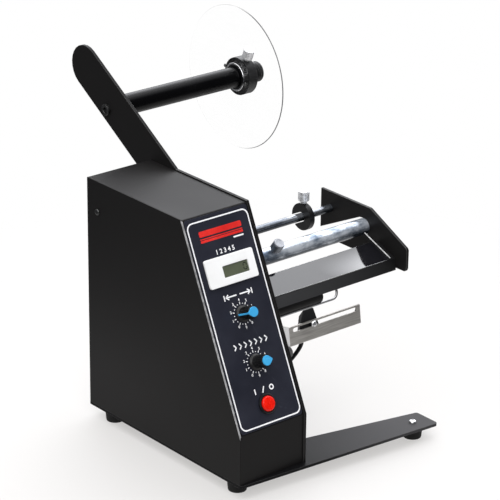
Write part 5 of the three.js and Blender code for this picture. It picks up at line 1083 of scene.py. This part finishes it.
# Studio: pale floor that fades out, soft lights, camera at the photograph's place
FLOOR_RADIUS = 3
FLOOR_MIDDLE = (0.02, -0.03, 0)
FLOOR_FADE = (0.3, 0.55)
bm = bmesh.new()
bmesh.ops.create_circle(bm, cap_ends=True, segments=96, radius=FLOOR_RADIUS)
floor_mesh = bpy.data.meshes.new("studio_floor")
bm.to_mesh(floor_mesh)
bm.free()
floor = bpy.data.objects.new("studio_floor", floor_mesh)
bpy.context.scene.collection.objects.link(floor)
paper = Finish("studio_paper", specular=0.1)
put(paper.shader, Base_Color=(0.26, 0.257, 0.254, 1), Roughness=0.9)
put(paper.shader, Emission_Color=(1.0, 0.982, 0.965, 1), Emission_Strength=0.5)
reach = paper.tree.nodes.new("ShaderNodeVectorMath")
reach.operation = "DISTANCE"
reach.inputs[1].default_value = FLOOR_MIDDLE
paper.link(paper.place, reach.inputs[0])
paper.link(paper.spread(reach.outputs["Value"], *FLOOR_FADE, 1.0, 0.0), paper.shader.inputs["Alpha"])
floor_mesh.materials.append(paper.material)


# Between these heights of a direction the bright panels begin; below them the room is only dim
HORIZON = (0.06, 0.2)


def studio_world(name, dim, panels):
    """White to the camera; for the lighting a dim room with soft bright panels in given directions."""
    world = bpy.data.worlds.new(name)
    world.use_nodes = True
    tree = world.node_tree
    new, link = tree.nodes.new, tree.links.new
    way = new("ShaderNodeTexCoord").outputs["Generated"]
    total = 0.0
    for direction, start, full, strength in panels:
        facing = new("ShaderNodeVectorMath")
        facing.operation = "DOT_PRODUCT"
        facing.inputs[1].default_value = Vector(direction).normalized()
        link(way, facing.inputs[0])
        lobe = ranged(tree, facing.outputs["Value"], start, full, 0.0, strength, "SMOOTHSTEP")
        total = reckon(tree, "ADD", lobe, total)
    height = new("ShaderNodeSeparateXYZ")
    link(way, height.inputs[0])
    risen = ranged(tree, height.outputs["Z"], *HORIZON, 0.0, 1.0, "SMOOTHSTEP")
    room = tree.nodes["Background"]
    put(room, Color=(0.955, 0.965, 1.0, 1))
    link(reckon(tree, "MULTIPLY_ADD", total, risen, dim), room.inputs["Strength"])
    white = new("ShaderNodeBackground")
    put(white, Color=(1, 1, 1, 1))
    seen = new("ShaderNodeMixShader")
    link(new("ShaderNodeLightPath").outputs["Is Camera Ray"], seen.inputs[0])
    link(room.outputs[0], seen.inputs[1])
    link(white.outputs[0], seen.inputs[2])
    link(seen.outputs[0], tree.nodes["World Output"].inputs["Surface"])
    return world


# Each panel's direction, where it starts and is full as a cosine about it, and its strength
PANELS = [
    ((0.6, 0.74, 0.33), 0.7, 0.97, 2.9),
    ((0.6, 0.26, 0.76), 0.68, 0.92, 2.0),
    ((1.0, 0.0, -0.1), 0.6, 0.95, 0.5),
    ((-0.8, -0.2, 0.55), 0.5, 0.95, 0.5),
]
bpy.context.scene.world = studio_world("studio", 0.2, PANELS)


def softbox(name, place, aim, size, power):
    light = bpy.data.lights.new(name, "AREA")
    light.shape, light.size, light.size_y = "RECTANGLE", *size
    light.energy = power
    holder = bpy.data.objects.new(name, light)
    holder.location = place
    holder.rotation_euler = (Vector(aim) - Vector(place)).to_track_quat("-Z", "Y").to_euler()
    bpy.context.scene.collection.objects.link(holder)


softbox("overhead_softbox", (-0.3, 0.3, 2.0), (0, 0.0, 0.1), (2.6, 2.8), 48)
softbox("front_left_softbox", (-1.3, -1.5, 1.5), (0, 0, 0.15), (1.8, 1.6), 28)

# The photograph's camera: its angles in degrees, and its stand off AIM along its own axes in millimetres
PHOTO_SIDE = 500
FOCAL_PIXELS = 2510.89
ANGLES = (-40.2209, 22.40275, 0.65952)
AIM = Vector((115, 115, 190))
STAND_RIGHT, STAND_UP, STAND_BACK = -7.03778, -20.45441, 2382.07154
camera_data = bpy.data.cameras.new("photo_camera")
camera = bpy.data.objects.new("photo_camera", camera_data)
bpy.context.scene.collection.objects.link(camera)
bpy.context.scene.camera = camera
camera_data.sensor_width = 36
camera_data.lens = camera_data.sensor_width * FOCAL_PIXELS / PHOTO_SIDE
camera_data.clip_end = 60
azimuth, elevation, roll = (math.radians(angle) for angle in ANGLES)
reach_back = math.cos(elevation)
back = Vector((math.sin(azimuth) * reach_back, -math.cos(azimuth) * reach_back, math.sin(elevation)))
level = Vector((math.cos(azimuth), math.sin(azimuth), 0))
upward = back.cross(level)
right = math.cos(roll) * level + math.sin(roll) * upward
up = -math.sin(roll) * level + math.cos(roll) * upward
stand = AIM + STAND_RIGHT * right + STAND_UP * up + STAND_BACK * back
turned = Matrix((right, up, back)).transposed().to_4x4()
camera.matrix_world = Matrix.Translation(MACHINE @ stand) @ turned
bpy.context.scene.view_settings.view_transform = "Standard"
